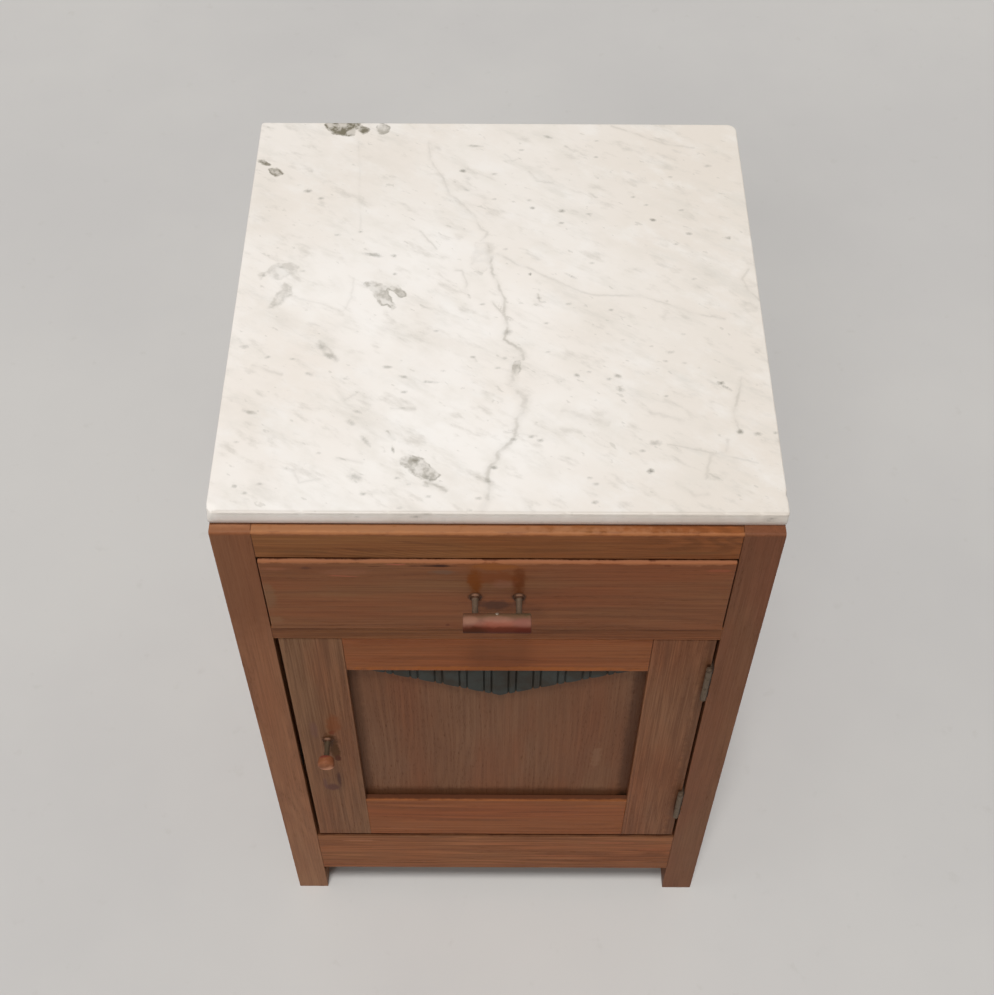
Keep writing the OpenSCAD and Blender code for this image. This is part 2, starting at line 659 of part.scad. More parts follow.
// ---------- drawer ----------
// dovetail tails of one side board, drawn in Y and Z, for side outer face at x = s * ds_x
module tail_shapes(s, grow) for (i = [0 : tails - 1]) {
  zc = z_run + (i + 0.5) * tail_pitch;
  xa = s > 0 ? ds_x - drawer_side_t : -ds_x - grow;
  translate([xa, 0, 0]) rotate([90, 0, 90]) linear_extrude(drawer_side_t + grow)
    polygon([[ds_y0, zc - tail_neck / 2 - dovetail_flare], [df_y1, zc - tail_neck / 2],
      [df_y1 + grow, zc - tail_neck / 2], [df_y1 + grow, zc + tail_neck / 2],
      [df_y1, zc + tail_neck / 2], [ds_y0, zc + tail_neck / 2 + dovetail_flare]]);
}
module drawer_front() color(oak_rail) home() difference() {
  round_block([-df_x, df_y0, df_z0], [df_x, df_y1, df_z1], drawer_edge_r);
  for (s = [-1, 1]) tail_shapes(s, 3);
  block([-ds_x + drawer_side_t - d_groove, df_y1 - d_groove, db_z],
    [ds_x - drawer_side_t + d_groove, df_y1 + eps, db_z + drawer_bottom_t]);
  for (s = [-1, 1]) rod([s * pull_pitch / 2, df_y0 - eps, pull_z], drawer_front_t + 2 * eps,
    stem_r + seat_fit, "y");
}
module drawer_side() {
  difference() {
    block([-ds_x, df_y1, z_run], [-ds_x + drawer_side_t, ds_y1, ds_z1]);
    block([-ds_x + drawer_side_t - d_groove, df_y1 - eps, db_z],
      [-ds_x + drawer_side_t + eps, ds_y1 + eps, db_z + drawer_bottom_t]);
    block([-ds_x + drawer_side_t - dado, ds_y1 - 2 * drawer_side_t, db_z + drawer_bottom_t - eps],
      [-ds_x + drawer_side_t + eps, ds_y1 - drawer_side_t, ds_z1 + eps]);
  }
  difference() {
    tail_shapes(-1, 0);
    block([-ds_x - eps, ds_y0 - eps, ds_z1], [-ds_x + 2 * drawer_side_t, df_y1, frame_h]);
    block([-ds_x + drawer_side_t - d_groove, df_y1 - d_groove, db_z],
      [-ds_x + drawer_side_t + eps, df_y1 + eps, db_z + drawer_bottom_t]);
  }
}
module drawer_side_left() color(oak_inside) home() drawer_side();
module drawer_side_right() color(oak_inside) home() mirror([1, 0, 0]) drawer_side();
module drawer_back() color(oak_inside) home()
  block([-ds_x + drawer_side_t - dado, ds_y1 - 2 * drawer_side_t, db_z + drawer_bottom_t],
    [ds_x - drawer_side_t + dado, ds_y1 - drawer_side_t, ds_z1]);
module drawer_bottom() color(oak_inside) home()
  block([-ds_x + drawer_side_t - d_groove, df_y1 - d_groove, db_z],
    [ds_x - drawer_side_t + d_groove, ds_y1, db_z + drawer_bottom_t]);

// ---------- pull ----------
module pull_collars() color(metal_aged) home() for (s = [-1, 1]) difference() {
  rod([s * pull_pitch / 2, df_y0 - collar_t, pull_z], collar_t, collar_r, "y");
  rod([s * pull_pitch / 2, df_y0 - collar_t - eps, pull_z], collar_t + 2 * eps,
    stem_r + seat_fit, "y");
}
module pull_stems() color(metal_aged) home() for (s = [-1, 1])
  rod([s * pull_pitch / 2, pull_y, pull_z], df_y1 + nut_t + stem_in - pull_y, stem_r, "y");
module pull_bar() color(grip_red) home() difference() {
  rod([-pull_len / 2, pull_y, pull_z], pull_len, pull_r, "x");
  for (s = [-1, 1]) rod([s * pull_pitch / 2, pull_y - seat_fit, pull_z], pull_r + 1,
    stem_r + seat_fit, "y");
  translate([0, pull_y, pull_z]) rotate([nail_turn, 0, 0]) cylinder(r = nail_r / 2 + seat_fit,
    h = pull_r + 1);
}
// small nail driven in from above and behind, its head on the bar's surface
module pull_nail() color(metal_bright) home() translate([0, pull_y, pull_z]) rotate([nail_turn, 0, 0]) {
  translate([0, 0, seat_fit]) cylinder(r = nail_r / 2, h = pull_r);
  translate([0, 0, pull_r + seat_fit]) cylinder(r = nail_r, h = nail_r / 2);
}
module pull_nuts() color(metal_aged) home() for (s = [-1, 1])
  nut_at(s * pull_pitch / 2, df_y1, pull_z);

marble_top();
post_front_left();
post_front_right();
post_back_left();
post_back_right();
front_top_rail();
drawer_divider_rail();
front_bottom_rail();
side_top_rail_left();
side_top_rail_right();
side_bottom_rail_left();
side_bottom_rail_right();
side_panel_left();
side_panel_right();
back_top_rail();
back_bottom_rail();
back_panel();
floor_board();
floor_cleats();
drawer_runner_left();
drawer_runner_right();
dust_board();
drawer_guides();
drawer_kickers();
drawer_stops();
door_stop();
hinge_frame_leaf_upper();
hinge_frame_leaf_lower();
hinge_pins();
hinge_frame_screws();
strike_plate();
strike_screws();
door_stile_left();
door_stile_right();
door_top_rail();
door_bottom_rail();
door_panel();
door_ornament();
hinge_door_leaf_upper();
hinge_door_leaf_lower();
hinge_door_screws();
knob_collar();
knob_stem();
knob_grip();
knob_nut();
catch_barrel();
catch_ball();
drawer_front();
drawer_side_left();
drawer_side_right();
drawer_back();
drawer_bottom();
pull_collars();
pull_stems();
pull_bar();
pull_nail();
pull_nuts();
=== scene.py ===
# %% [markdown]
# # A small oak bedside cupboard with a marble slab
#
# The object is a pot cupboard on four square posts: a loose slab of white marble, one drawer, and a
# framed door with a black fluted triangle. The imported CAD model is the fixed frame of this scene.
# Every piece below is made around that frame, in metres, and rides on the body that carries it.

# %% Load the frame
import json
import math
from functools import partial

import bmesh
import bpy
import numpy as np
from mathutils import Matrix, Vector, noise

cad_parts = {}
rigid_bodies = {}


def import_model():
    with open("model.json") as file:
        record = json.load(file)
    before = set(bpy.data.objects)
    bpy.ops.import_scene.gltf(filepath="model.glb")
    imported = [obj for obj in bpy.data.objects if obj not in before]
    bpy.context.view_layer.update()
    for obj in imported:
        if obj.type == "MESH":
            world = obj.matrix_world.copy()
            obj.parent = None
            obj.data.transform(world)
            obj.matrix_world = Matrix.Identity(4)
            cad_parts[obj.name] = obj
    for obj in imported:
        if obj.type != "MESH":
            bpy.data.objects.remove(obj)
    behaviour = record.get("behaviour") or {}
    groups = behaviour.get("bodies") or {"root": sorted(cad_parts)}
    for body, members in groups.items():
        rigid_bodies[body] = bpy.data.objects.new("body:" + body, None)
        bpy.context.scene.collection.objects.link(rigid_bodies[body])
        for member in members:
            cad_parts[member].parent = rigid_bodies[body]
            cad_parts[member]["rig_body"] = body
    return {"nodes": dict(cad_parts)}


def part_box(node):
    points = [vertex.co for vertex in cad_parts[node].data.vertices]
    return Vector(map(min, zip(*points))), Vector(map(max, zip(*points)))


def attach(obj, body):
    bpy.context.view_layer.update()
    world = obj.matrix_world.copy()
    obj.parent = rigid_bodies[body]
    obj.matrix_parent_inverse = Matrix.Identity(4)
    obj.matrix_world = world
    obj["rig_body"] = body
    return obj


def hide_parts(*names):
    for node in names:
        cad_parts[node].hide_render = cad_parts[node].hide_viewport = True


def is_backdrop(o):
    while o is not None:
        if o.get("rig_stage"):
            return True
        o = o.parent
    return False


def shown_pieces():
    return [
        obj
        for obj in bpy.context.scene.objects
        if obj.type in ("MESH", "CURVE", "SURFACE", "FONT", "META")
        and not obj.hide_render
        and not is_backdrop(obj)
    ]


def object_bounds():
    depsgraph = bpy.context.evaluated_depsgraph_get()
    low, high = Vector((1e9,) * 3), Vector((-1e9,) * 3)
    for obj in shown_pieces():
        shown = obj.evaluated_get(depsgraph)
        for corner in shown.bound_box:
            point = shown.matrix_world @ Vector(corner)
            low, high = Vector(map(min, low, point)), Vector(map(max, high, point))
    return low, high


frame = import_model()
cad_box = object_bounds()
print("CAD box", [round(v, 4) for corner in cad_box for v in corner])

# %% [markdown]
# ## The camera
#
# The photograph looks down at the cupboard, standing a step in front of it, with a moderate lens.
# Its place was found by fitting the corners of slab, posts and feet, so it is written as a position,
# three angles and a focal length in pixels. It comes first, because marks on the marble and on the
# wood are placed by looking along a pixel of the photograph.

# %% Camera
PHOTO_SIZE = (994, 995)
FOCAL_PIXELS = 1503.5
SENSOR = 36.0
EYE = Vector((-0.0022, -0.8652, 1.6134))
YAW, PITCH, ROLL = math.radians(0.142), math.radians(53.405), math.radians(0.353)

ahead = Vector((math.sin(YAW) * math.cos(PITCH), math.cos(YAW) * math.cos(PITCH), -math.sin(PITCH)))
level = Vector((math.cos(YAW), -math.sin(YAW), 0.0))
across_view = math.cos(ROLL) * level + math.sin(ROLL) * level.cross(ahead)
up_view = math.cos(ROLL) * level.cross(ahead) - math.sin(ROLL) * level

camera_data = bpy.data.cameras.new("photo_camera")
camera_data.sensor_width = SENSOR
camera_data.lens = FOCAL_PIXELS * SENSOR / max(PHOTO_SIZE)
camera = bpy.data.objects.new("photo_camera", camera_data)
bpy.context.scene.collection.objects.link(camera)
turn = Matrix((across_view, up_view, -ahead)).transposed().to_4x4()
camera.matrix_world = Matrix.Translation(EYE) @ turn
bpy.context.scene.camera = camera
print("lens", round(camera_data.lens, 2), "mm")


# %% Look along a pixel of the photograph
def seen_at(px, py, axis, value):
    """The point where the ray through pixel (px, py) meets the plane axis = value."""
    ray = ahead + across_view * ((px - PHOTO_SIZE[0] / 2) / FOCAL_PIXELS)
    ray -= up_view * ((py - PHOTO_SIZE[1] / 2) / FOCAL_PIXELS)
    return EYE + ray * ((value - EYE[axis]) / ray[axis])


slab_low, slab_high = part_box("marble_top")
print("slab centre seen at", [round(v, 3) for v in seen_at(497, 320, 2, slab_high.z)])

# %% [markdown]
# ## Helpers for node trees
#
# Shader trees and Geometry Nodes trees are both made of nodes joined by links. A few small helpers
# keep the cells below short: `put` adds a node and fills its sockets with values or links, `calc`
# adds one step of arithmetic, `sums` gives the four commonest steps short names for one tree, and
# `new_group` opens a group with named inputs and outputs.


# %% Node helpers
def fill(tree, node, sockets):
    """Links each socket to a value's node, or sets it to a plain value."""
    for key, value in sockets.items():
        if isinstance(value, bpy.types.NodeSocket):
            tree.links.new(value, node.inputs[key])
        else:
            node.inputs[key].default_value = value
    return node


def put(tree, kind, sockets=None, **settings):
    made = tree.nodes.new(kind)
    for name, value in settings.items():
        setattr(made, name, value)
    return fill(tree, made, sockets or {})


def calc(tree, operation, *terms):
    return put(tree, "ShaderNodeMath", dict(enumerate(terms)), operation=operation).outputs[0]


def sums(tree):
    """plus, minus, times and over, each for two terms."""
    return [partial(calc, tree, step) for step in ("ADD", "SUBTRACT", "MULTIPLY", "DIVIDE")]


def step_between(tree, value, low, high):
    """0 below low, 1 above high, smooth between. Low may be larger than high."""
    made = put(tree, "ShaderNodeMapRange", {0: value, 1: low, 2: high, 3: 0.0, 4: 1.0},
               interpolation_type="SMOOTHSTEP")
    return made.outputs[0]


def new_group(name, kind, inputs, outputs):
    group = bpy.data.node_groups.new(name, kind)
    for title, socket, default in inputs:
        made = group.interface.new_socket(title, in_out="INPUT", socket_type=socket)
        if default is not None:
            made.default_value = default
    for title, socket in outputs:
        group.interface.new_socket(title, in_out="OUTPUT", socket_type=socket)
    start, end = group.nodes.new("NodeGroupInput"), group.nodes.new("NodeGroupOutput")
    return group, start.outputs, end.inputs


def use_group(tree, group, sockets):
    return put(tree, "ShaderNodeGroup", sockets, node_tree=group).outputs


VALUE, VECTOR = "NodeSocketFloat", "NodeSocketVector"
GEOMETRY, MATERIAL = "NodeSocketGeometry", "NodeSocketMaterial"
print("helpers ready")

# %% [markdown]
# ## Helpers for materials
#
# Every finish here is made the same way: one colour is laid over another through a mask, several
# times, and the masks come from noise. So a few more helpers are worth having: `clouds` is that noise,
# `layer` lays one screen colour over what is there, `new_material` opens a material, `relief` turns
# heights into fine relief, and `dress` feeds all of it to the shader.


# %% Colours and materials
def linear(red, green, blue):
    """A screen colour, 0 to 255, as the linear colour that Blender's sockets hold."""
    parts = [c / 255 for c in (red, green, blue)]
    return (*[c / 12.92 if c <= 0.04045 else ((c + 0.055) / 1.055) ** 2.4 for c in parts], 1.0)


def clouds(tree, place, scale, detail=2.0, rough=0.5):
    return put(tree, "ShaderNodeTexNoise", {"Vector": place, "Scale": scale, "Detail": detail,
                                            "Roughness": rough}).outputs[0]


def mix(tree, share, first, second):
    return put(tree, "ShaderNodeMix", {0: share, 6: first, 7: second}, data_type="RGBA").outputs[2]


def layer(tree, colour, mask, share, paint):
    """Lays a screen colour over another: as much as share where the mask is 1, and not where it is 0."""
    return mix(tree, calc(tree, "MULTIPLY", mask, share), colour, linear(*paint))


def new_material(name):
    made = bpy.data.materials.new(name)
    made.use_nodes = True
    tree = made.node_tree
    return made, tree, put(tree, "ShaderNodeTexCoord").outputs["Object"]


def relief(tree, height, strength, depth=0.0003):
    """A normal from heights that reach over a depth in metres."""
    return put(tree, "ShaderNodeBump", {"Strength": strength, "Distance": depth, "Height": height}).outputs[0]


def dress(tree, sockets):
    fill(tree, tree.nodes["Principled BSDF"], sockets)


print("material helpers ready")

# %% [markdown]
# ## Edge wear, one group for every board
#
# On an old cupboard the polish is rubbed through along the arrises, where hands and cloths pass.
# Painting that by hand would need a picture for each board. Here every board carries the two corners
# of its own box as attributes, and the group measures how far a point is from the nearest arris: of
# the three distances to the faces, the middle one. Noise makes the rubbed line come and go.


# %% Group: arris wear
def make_arris_wear():
    group, given, result = new_group(
        "arris_wear", "ShaderNodeTree",
        [("At", VECTOR, (0, 0, 0)), ("Low", VECTOR, (0, 0, 0)), ("High", VECTOR, (1, 1, 1)),
         ("Width", VALUE, 0.002), ("Broken", VALUE, 0.7)],
        [("Worn", VALUE)])
    plus, minus, times, over = sums(group)
    parts = [put(group, "ShaderNodeSeparateXYZ", {0: given[n]}).outputs for n in ("At", "Low", "High")]
    near = [calc(group, "MINIMUM", calc(group, "ABSOLUTE", minus(at, low)),
                 calc(group, "ABSOLUTE", minus(high, at))) for at, low, high in zip(*parts)]
    smaller = calc(group, "MINIMUM", near[0], near[1])
    larger = calc(group, "MAXIMUM", near[0], near[1])
    middle = calc(group, "MAXIMUM", smaller, calc(group, "MINIMUM", larger, near[2]))
    rough = clouds(group, given["At"], 45.0, 4.0, 0.65)
    reach = times(given["Width"], plus(1.0, times(given["Broken"], times(minus(rough, 0.5), 5.0))))
    worn = minus(1.0, over(middle, calc(group, "MAXIMUM", reach, 0.0002)))
    group.links.new(step_between(group, worn, 0.0, 0.6), result["Worn"])
    return group


arris_wear = make_arris_wear()
print(arris_wear.name, "has", len(arris_wear.nodes), "nodes")

# %% [markdown]
# ## Oak grain, one group for every board
#
# Oak shows four things at once: soft bands of early and late wood, which run straight on a quartered
# board and draw arches on a plain-sawn one; fine fibre streaks; short dark pores; and slow changes
# of tone. The group reads the board's own coordinates (along, across, deep), so that one group serves
# posts, rails and panels alike. The bands are the height lines of a stretched noise, which is what
# gives the arches. It puts out values only, and each material turns them into its own colours.


# %% Group: oak grain
def make_oak_grain():
    group, given, result = new_group(
        "oak_grain", "ShaderNodeTree",
        [("At", VECTOR, (0, 0, 0)), ("Rings", VALUE, 14.0), ("Arch", VALUE, 1.0), ("Fibre", VALUE, 1.0)],
        [(n, VALUE) for n in ("Band", "Streak", "Pore", "Tone", "Warm", "Height")])
    plus, minus, times, _ = sums(group)

    def stretched(along, across, detail=2.0, rough=0.5, shift=0.0):
        place = put(group, "ShaderNodeMapping", {0: given["At"], 1: (shift, shift * 1.7, shift * 0.6),
                                                 3: (along, across, across)}).outputs[0]
        return clouds(group, place, 1.0, detail, rough)

    def between(value, low, high):
        return step_between(group, value, low, high)

    _, across, deep = put(group, "ShaderNodeSeparateXYZ", {0: given["At"]}).outputs
    straight = times(plus(across, times(deep, 0.6)), 12.0)
    arches = times(stretched(3.2, 22.0, 1.0, 0.4), given["Arch"])
    sway = times(stretched(6.0, 70.0, 2.0, 0.5, 3.0), 0.24)
    height = plus(arches, plus(straight, sway))
    turn = calc(group, "SINE", times(height, times(given["Rings"], 6.283)))
    here_and_there = between(stretched(4.5, 30.0, 2.0, 0.5, 15.0), 0.36, 0.62)
    band = minus(1.0, times(between(turn, 0.9, -1.0), here_and_there))
    fine = stretched(14.0, 900.0, 2.0, 0.6, 5.0)
    middle = stretched(6.0, 260.0, 3.0, 0.6, 9.0)
    streak = between(plus(times(fine, 0.55), times(middle, 0.45)), 0.36, 0.64)
    dashes = between(stretched(110.0, 1500.0, 1.0, 0.5, 12.0), 0.56, 0.68)
    pore = times(dashes, minus(1.0, times(band, 0.75)))
    tone = between(stretched(5.0, 13.0, 3.0, 0.55, 20.0), 0.32, 0.68)
    warm = between(stretched(2.8, 17.0, 3.0, 0.6, 27.0), 0.42, 0.66)
    rise = minus(times(streak, times(given["Fibre"], 0.5)), pore)
    for title, value in (("Band", band), ("Streak", streak), ("Pore", pore), ("Tone", tone),
                         ("Warm", warm), ("Height", rise)):
        group.links.new(value, result[title])
    return group


oak_grain = make_oak_grain()
print(oak_grain.name, "has", len(oak_grain.nodes), "nodes")

# %% [markdown]
# ## Marks at one place
#
# Years of fingers have rubbed the finish above the pull and the knob to a warm orange, there are a
# few stains and dark streaks, and the dark patches in corners and gaps are partly dirt and partly
# painted shade. Each is an egg-shaped patch with a ragged rim at a known place on the object, so a
# group takes the place, the half sizes along x, y and z, and how ragged the rim is. A very long egg
# makes a band along an edge.


# %% Group: one mark
def make_one_mark():
    group, given, result = new_group(
        "one_mark", "ShaderNodeTree",
        [("At", VECTOR, (0, 0, 0)), ("Centre", VECTOR, (0, 0, 0)), ("Reach", VECTOR, (0.01, 0.01, 0.01)),
         ("Turn", VALUE, 0.0), ("Ragged", VALUE, 0.5), ("Soft", VALUE, 0.6)],
        [("Mark", VALUE)])
    plus, minus, times, _ = sums(group)
    spun = put(group, "ShaderNodeVectorRotate", {"Vector": given["At"], "Center": given["Centre"],
                                                 "Angle": given["Turn"]}, rotation_type="Y_AXIS").outputs[0]
    off = put(group, "ShaderNodeVectorMath", {0: spun, 1: given["Centre"]}, operation="SUBTRACT").outputs[0]
    scaled = put(group, "ShaderNodeVectorMath", {0: off, 1: given["Reach"]}, operation="DIVIDE").outputs[0]
    far = put(group, "ShaderNodeVectorMath", {0: scaled}, operation="LENGTH").outputs[1]
    rough = clouds(group, given["At"], 160.0, 3.0)
    edge = plus(far, times(minus(rough, 0.5), times(given["Ragged"], 2.0)))
    group.links.new(step_between(group, edge, 1.0, minus(1.0, given["Soft"])), result["Mark"])
    return group


one_mark = make_one_mark()
print(one_mark.name, "has", len(one_mark.nodes), "nodes")


# %% Lay marks over a colour, and place them
def painted(tree, colour, place, marks):
    """Lays the marks of a list over a colour, one after the other."""
    for centre, reach, paint, share, ragged, turn in marks:
        mark = use_group(tree, one_mark, {"At": place, "Centre": centre, "Reach": reach,
                                          "Ragged": ragged, "Turn": math.radians(turn)})["Mark"]
        colour = layer(tree, colour, mark, share, paint)
    return colour


def mark_at(centre, reach, paint, share, ragged, turn=0.0):
    """A mark round a point: half sizes in metres, a screen colour, a strength, how ragged, a turn."""
    return (tuple(centre), reach, paint, share, ragged, turn)


def on_front(face, px, py, half_wide, half_high, paint, share, ragged=0.5, turn=0.0):
    """A mark on an upright face: its middle at a pixel, its half sizes in mm, turned in degrees."""
    reach = (half_wide * 0.001, 0.01, half_high * 0.001)
    return mark_at(seen_at(px, py, 1, face), reach, paint, share, ragged, turn)


def all_on(face, *rows):
    return [on_front(face, *row) for row in rows]


side_by_side = [seen_at(px, 700, 1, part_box("door_panel")[0].y).x for px in (497, 498)]
print("a pixel on the door is", round((side_by_side[1] - side_by_side[0]) * 1000, 2), "mm wide")

# %% [markdown]
# ## Waxed oak
#
# The boards are oak, stained brown and waxed. One function makes each board's finish from four
# colours and the three groups: the base, the darker late wood, the paler wood of the slow changes,
# and the colour of the rubbed arris. The numbers differ from board to board, as they do in the
# photograph, where the stiles are grey and striped, the rails are red and the posts are smooth.

# %% Material: waxed oak
REDDER = (1.05, 0.93, 0.86)


def waxed_oak(name, base, dark, pale, arris, band, streak, rub, rings=14.0, arch=1.0, pore=0.25, tone=0.6,
              warm=0.5, worn=0.0022, broken=0.8, rough=0.5, marks=()):
    made, tree, place = new_material(name)
    plus, minus, times, _ = sums(tree)
    at, low, high = [put(tree, "ShaderNodeAttribute", attribute_name=n).outputs["Vector"]
                     for n in ("grain_at", "board_low", "board_high")]
    grain = use_group(tree, oak_grain, {"At": at, "Rings": rings, "Arch": arch})
    wear = use_group(tree, arris_wear, {"At": at, "Low": low, "High": high, "Width": worn, "Broken": broken})
    redder = [min(c * k, 255) for c, k in zip(base, REDDER)]
    colour = linear(*base)
    for mask, share, paint in (
            (grain["Tone"], tone, pale), (grain["Warm"], warm, redder),
            (minus(1.0, grain["Band"]), band, dark), (minus(1.0, grain["Streak"]), streak, dark),
            (grain["Pore"], pore, [c * 0.45 for c in dark])):
        colour = layer(tree, colour, mask, share, paint)
    colour = painted(tree, colour, place, marks)
    colour = layer(tree, colour, wear["Worn"], rub, arris)
    dress(tree, {"Base Color": colour, "Roughness": plus(rough, times(grain["Pore"], 0.2)),
                 "Normal": relief(tree, grain["Height"], 0.35), "Specular IOR Level": 0.1})
    return made


print("waxed oak takes", waxed_oak.__code__.co_argcount, "values")

# %% [markdown]
# ## Marks on the drawer
#
# The places of the warm and dark marks were read off the photograph, and are turned into points
# on the drawer's face by looking along the pixel. Each row is a pixel, the half sizes in millimetres, a
# screen colour, a strength, and at times how ragged the mark is and how far it is turned. The last
# one is the dark line that the drawer's rounded upper edge shows.

# %% Marks on the drawer
drawer_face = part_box("drawer_front")[0].y
drawer_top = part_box("drawer_front")[1].z
drawer_marks = all_on(
    drawer_face,
    (495, 567, 26, 6, (150, 88, 40), 0.65, 0.4), (475, 581, 8, 22, (122, 64, 20), 0.9, 0.5),
    (518.5, 581, 7.5, 22, (106, 54, 22), 0.9, 0.5), (497, 578, 24, 12, (126, 66, 30), 0.6),
    # The second mark on the next line is painted shade behind the pull's bar, between its stems.
    (503, 584, 12, 8, (148, 98, 78), 0.35), (496, 605, 19, 9, (80, 50, 38), 0.75),
    (435, 566, 19, 1.5, (62, 32, 16), 0.9, 0.25), (440, 566, 9, 2.2, (58, 30, 18), 0.85, 0.3),
    (443, 572, 13, 4, (112, 86, 68), 0.6), (414, 566, 6, 1.2, (88, 48, 28), 0.8),
    (305, 568, 6, 2.6, (98, 60, 42), 0.85), (275, 569, 14, 3, (160, 100, 74), 0.35),
    (345, 572, 26, 6, (148, 96, 70), 0.35), (374, 566.5, 8, 0.9, (96, 56, 34), 0.8),
    (342, 576, 15, 1.0, (168, 90, 68), 0.6, 0.3, -5), (268, 595, 8, 26, (128, 100, 72), 0.4),
    (273, 620, 11, 8, (136, 98, 68), 0.45), (396, 564.5, 11, 1.2, (186, 100, 80), 0.55),
    (448, 625, 2.5, 2.5, (96, 50, 32), 0.75), (560, 627, 60, 2.0, (104, 62, 40), 0.4),
    (720, 571, 14, 2.6, (152, 82, 56), 0.6), (668, 566, 4, 1.2, (104, 50, 26), 0.7),
    (722, 590, 16, 1.0, (112, 72, 50), 0.5), (721, 593.5, 13, 0.8, (110, 70, 50), 0.5),
    (475.5, 597, 7.5, 8, (62, 32, 16), 0.85, 0.4), (518.5, 597, 7.5, 8, (62, 32, 16), 0.85, 0.4))
# Painted shade: a dark line on the drawer's top face behind its rounded upper edge, in the gap under the rail.
drawer_marks.append(mark_at((0, drawer_face + 0.0048, drawer_top), (0.9, 0.0045, 0.0016),
                            (66, 28, 8), 0.9, 0.0))
print(len(drawer_marks), "marks on the drawer")

# %% [markdown]
# ## Marks on the door
#
# The knob's ring-like shadow is painted on the stile, since the scene's soft lamps don't cast it.
# In the same way the panel has painted shade along its edges, where the frame stands over it, with
# some dirt along its foot, and the stile with the hinges has painted shade beside them. The ledge of
# the lower rail is painted darker in its corner.

# %% Marks on the door
door_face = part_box("door_stile_left")[0].y
panel_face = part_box("door_panel")[0].y
panel_left, panel_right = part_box("door_stile_left")[1].x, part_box("door_stile_right")[0].x
ledge, hinge_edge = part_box("door_bottom_rail")[1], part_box("door_stile_right")[1]
knob_shadow = [(330, 741, 10, 16, (78, 44, 16), 0.85), (335, 750, 5.6, 22, (84, 48, 10), 0.85),
               (338, 758, 3.6, 8, (80, 36, 14), 0.85)]
knob_marks = all_on(
    door_face,
    (333, 724, 9, 22, (124, 66, 32), 0.6), (332, 733, 4, 6, (116, 50, 28), 0.7),
    # Painted shadow beside the knob's stem, laid twice.
    *knob_shadow, *knob_shadow,
    # The next three marks paint the knob's ring-like shadow.
    (333, 787, 9.5, 9, (90, 56, 50), 0.8, 0.3), (339.5, 779, 2.4, 20, (78, 46, 38), 0.8, 0.3),
    (325.5, 783, 2.6, 14, (98, 66, 60), 0.6, 0.3), (325.5, 747, 3.2, 14, (76, 52, 28), 0.7, 0.3),
    (314, 730, 5, 22, (112, 76, 66), 0.5))
# Painted shade: a dark band left of each hinge barrel, a dark patch above it, and a band along the stile's
# hinge edge.
hinge_marks = all_on(
    door_face,
    (704, 684, 1.7, 24, (52, 32, 14), 0.8, 0.4), (710.5, 665.5, 4.5, 3.6, (34, 16, 6), 0.95, 0.3),
    (675.5, 803, 1.7, 20, (52, 28, 16), 0.8, 0.4), (681, 790.3, 4, 4, (34, 20, 6), 0.95, 0.3))
hinge_marks.append(mark_at((hinge_edge.x, door_face, hinge_edge.z / 2), (0.011, 0.006, 0.9),
                           (84, 52, 32), 0.55, 0.5))
# The first mark darkens the corner of the lower rail's ledge; the others are warm and dark streaks on the
# rails.
ledge_dirt = [
    mark_at((0, ledge.y - 0.0145, ledge.z), (0.6, 0.0058, 0.0016), (74, 42, 26), 0.9, 0.25),
    mark_at((0.005, door_face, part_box("door_top_rail")[0].z + 0.003), (0.15, 0.01, 0.0052),
            (162, 88, 36), 0.6, 0.8),
    *all_on(door_face,
            (497, 668, 170, 3, (158, 92, 42), 0.5, 0.4), (430, 806, 60, 3, (158, 94, 56), 0.5),
            (540, 812, 50, 2, (90, 52, 30), 0.5, 0.4, 2), (470, 820, 80, 2.5, (94, 56, 34), 0.45),
            (600, 806, 30, 3, (160, 92, 50), 0.5), (400, 828, 40, 2, (156, 100, 66), 0.4),
            (560, 826, 60, 2.5, (150, 88, 50), 0.4))]
# Painted shade along the panel's left and right edges and at a spot near its lower right corner, shade with
# some dirt along its foot, and a paler streak.
panel_marks = [
    mark_at((panel_left, panel_face, 0.35), (0.012, 0.006, 0.7), (72, 42, 22), 0.6, 0.2),
    mark_at((panel_right, panel_face, 0.35), (0.015, 0.006, 0.7), (64, 34, 16), 0.68, 0.2),
    mark_at((0, panel_face, ledge.z + 0.002), (0.6, 0.006, 0.018), (66, 36, 16), 0.68, 0.2),
    *all_on(panel_face, (622, 797, 10, 18, (26, 18, 10), 0.85, 0.4),
            (596, 757, 6, 30, (144, 108, 82), 0.3, 0.8))]
print(len(knob_marks + hinge_marks + ledge_dirt + panel_marks), "marks on the door")

# %% [markdown]
# ## Marks on rails and posts
#
# The rail above the drawer has a painted shadow line right under the slab and a paler strip along its
# rounded edge, which goes on over the left post. The left post is painted darker towards its top, as
# shade. Where rail and post meet there is a dark hairline.

# %% Marks on rails and posts
rail_face, rail_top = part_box("front_top_rail")[0].y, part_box("front_top_rail")[1].z
low_rail_face, low_rail_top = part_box("front_bottom_rail")[0].y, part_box("front_bottom_rail")[1].z
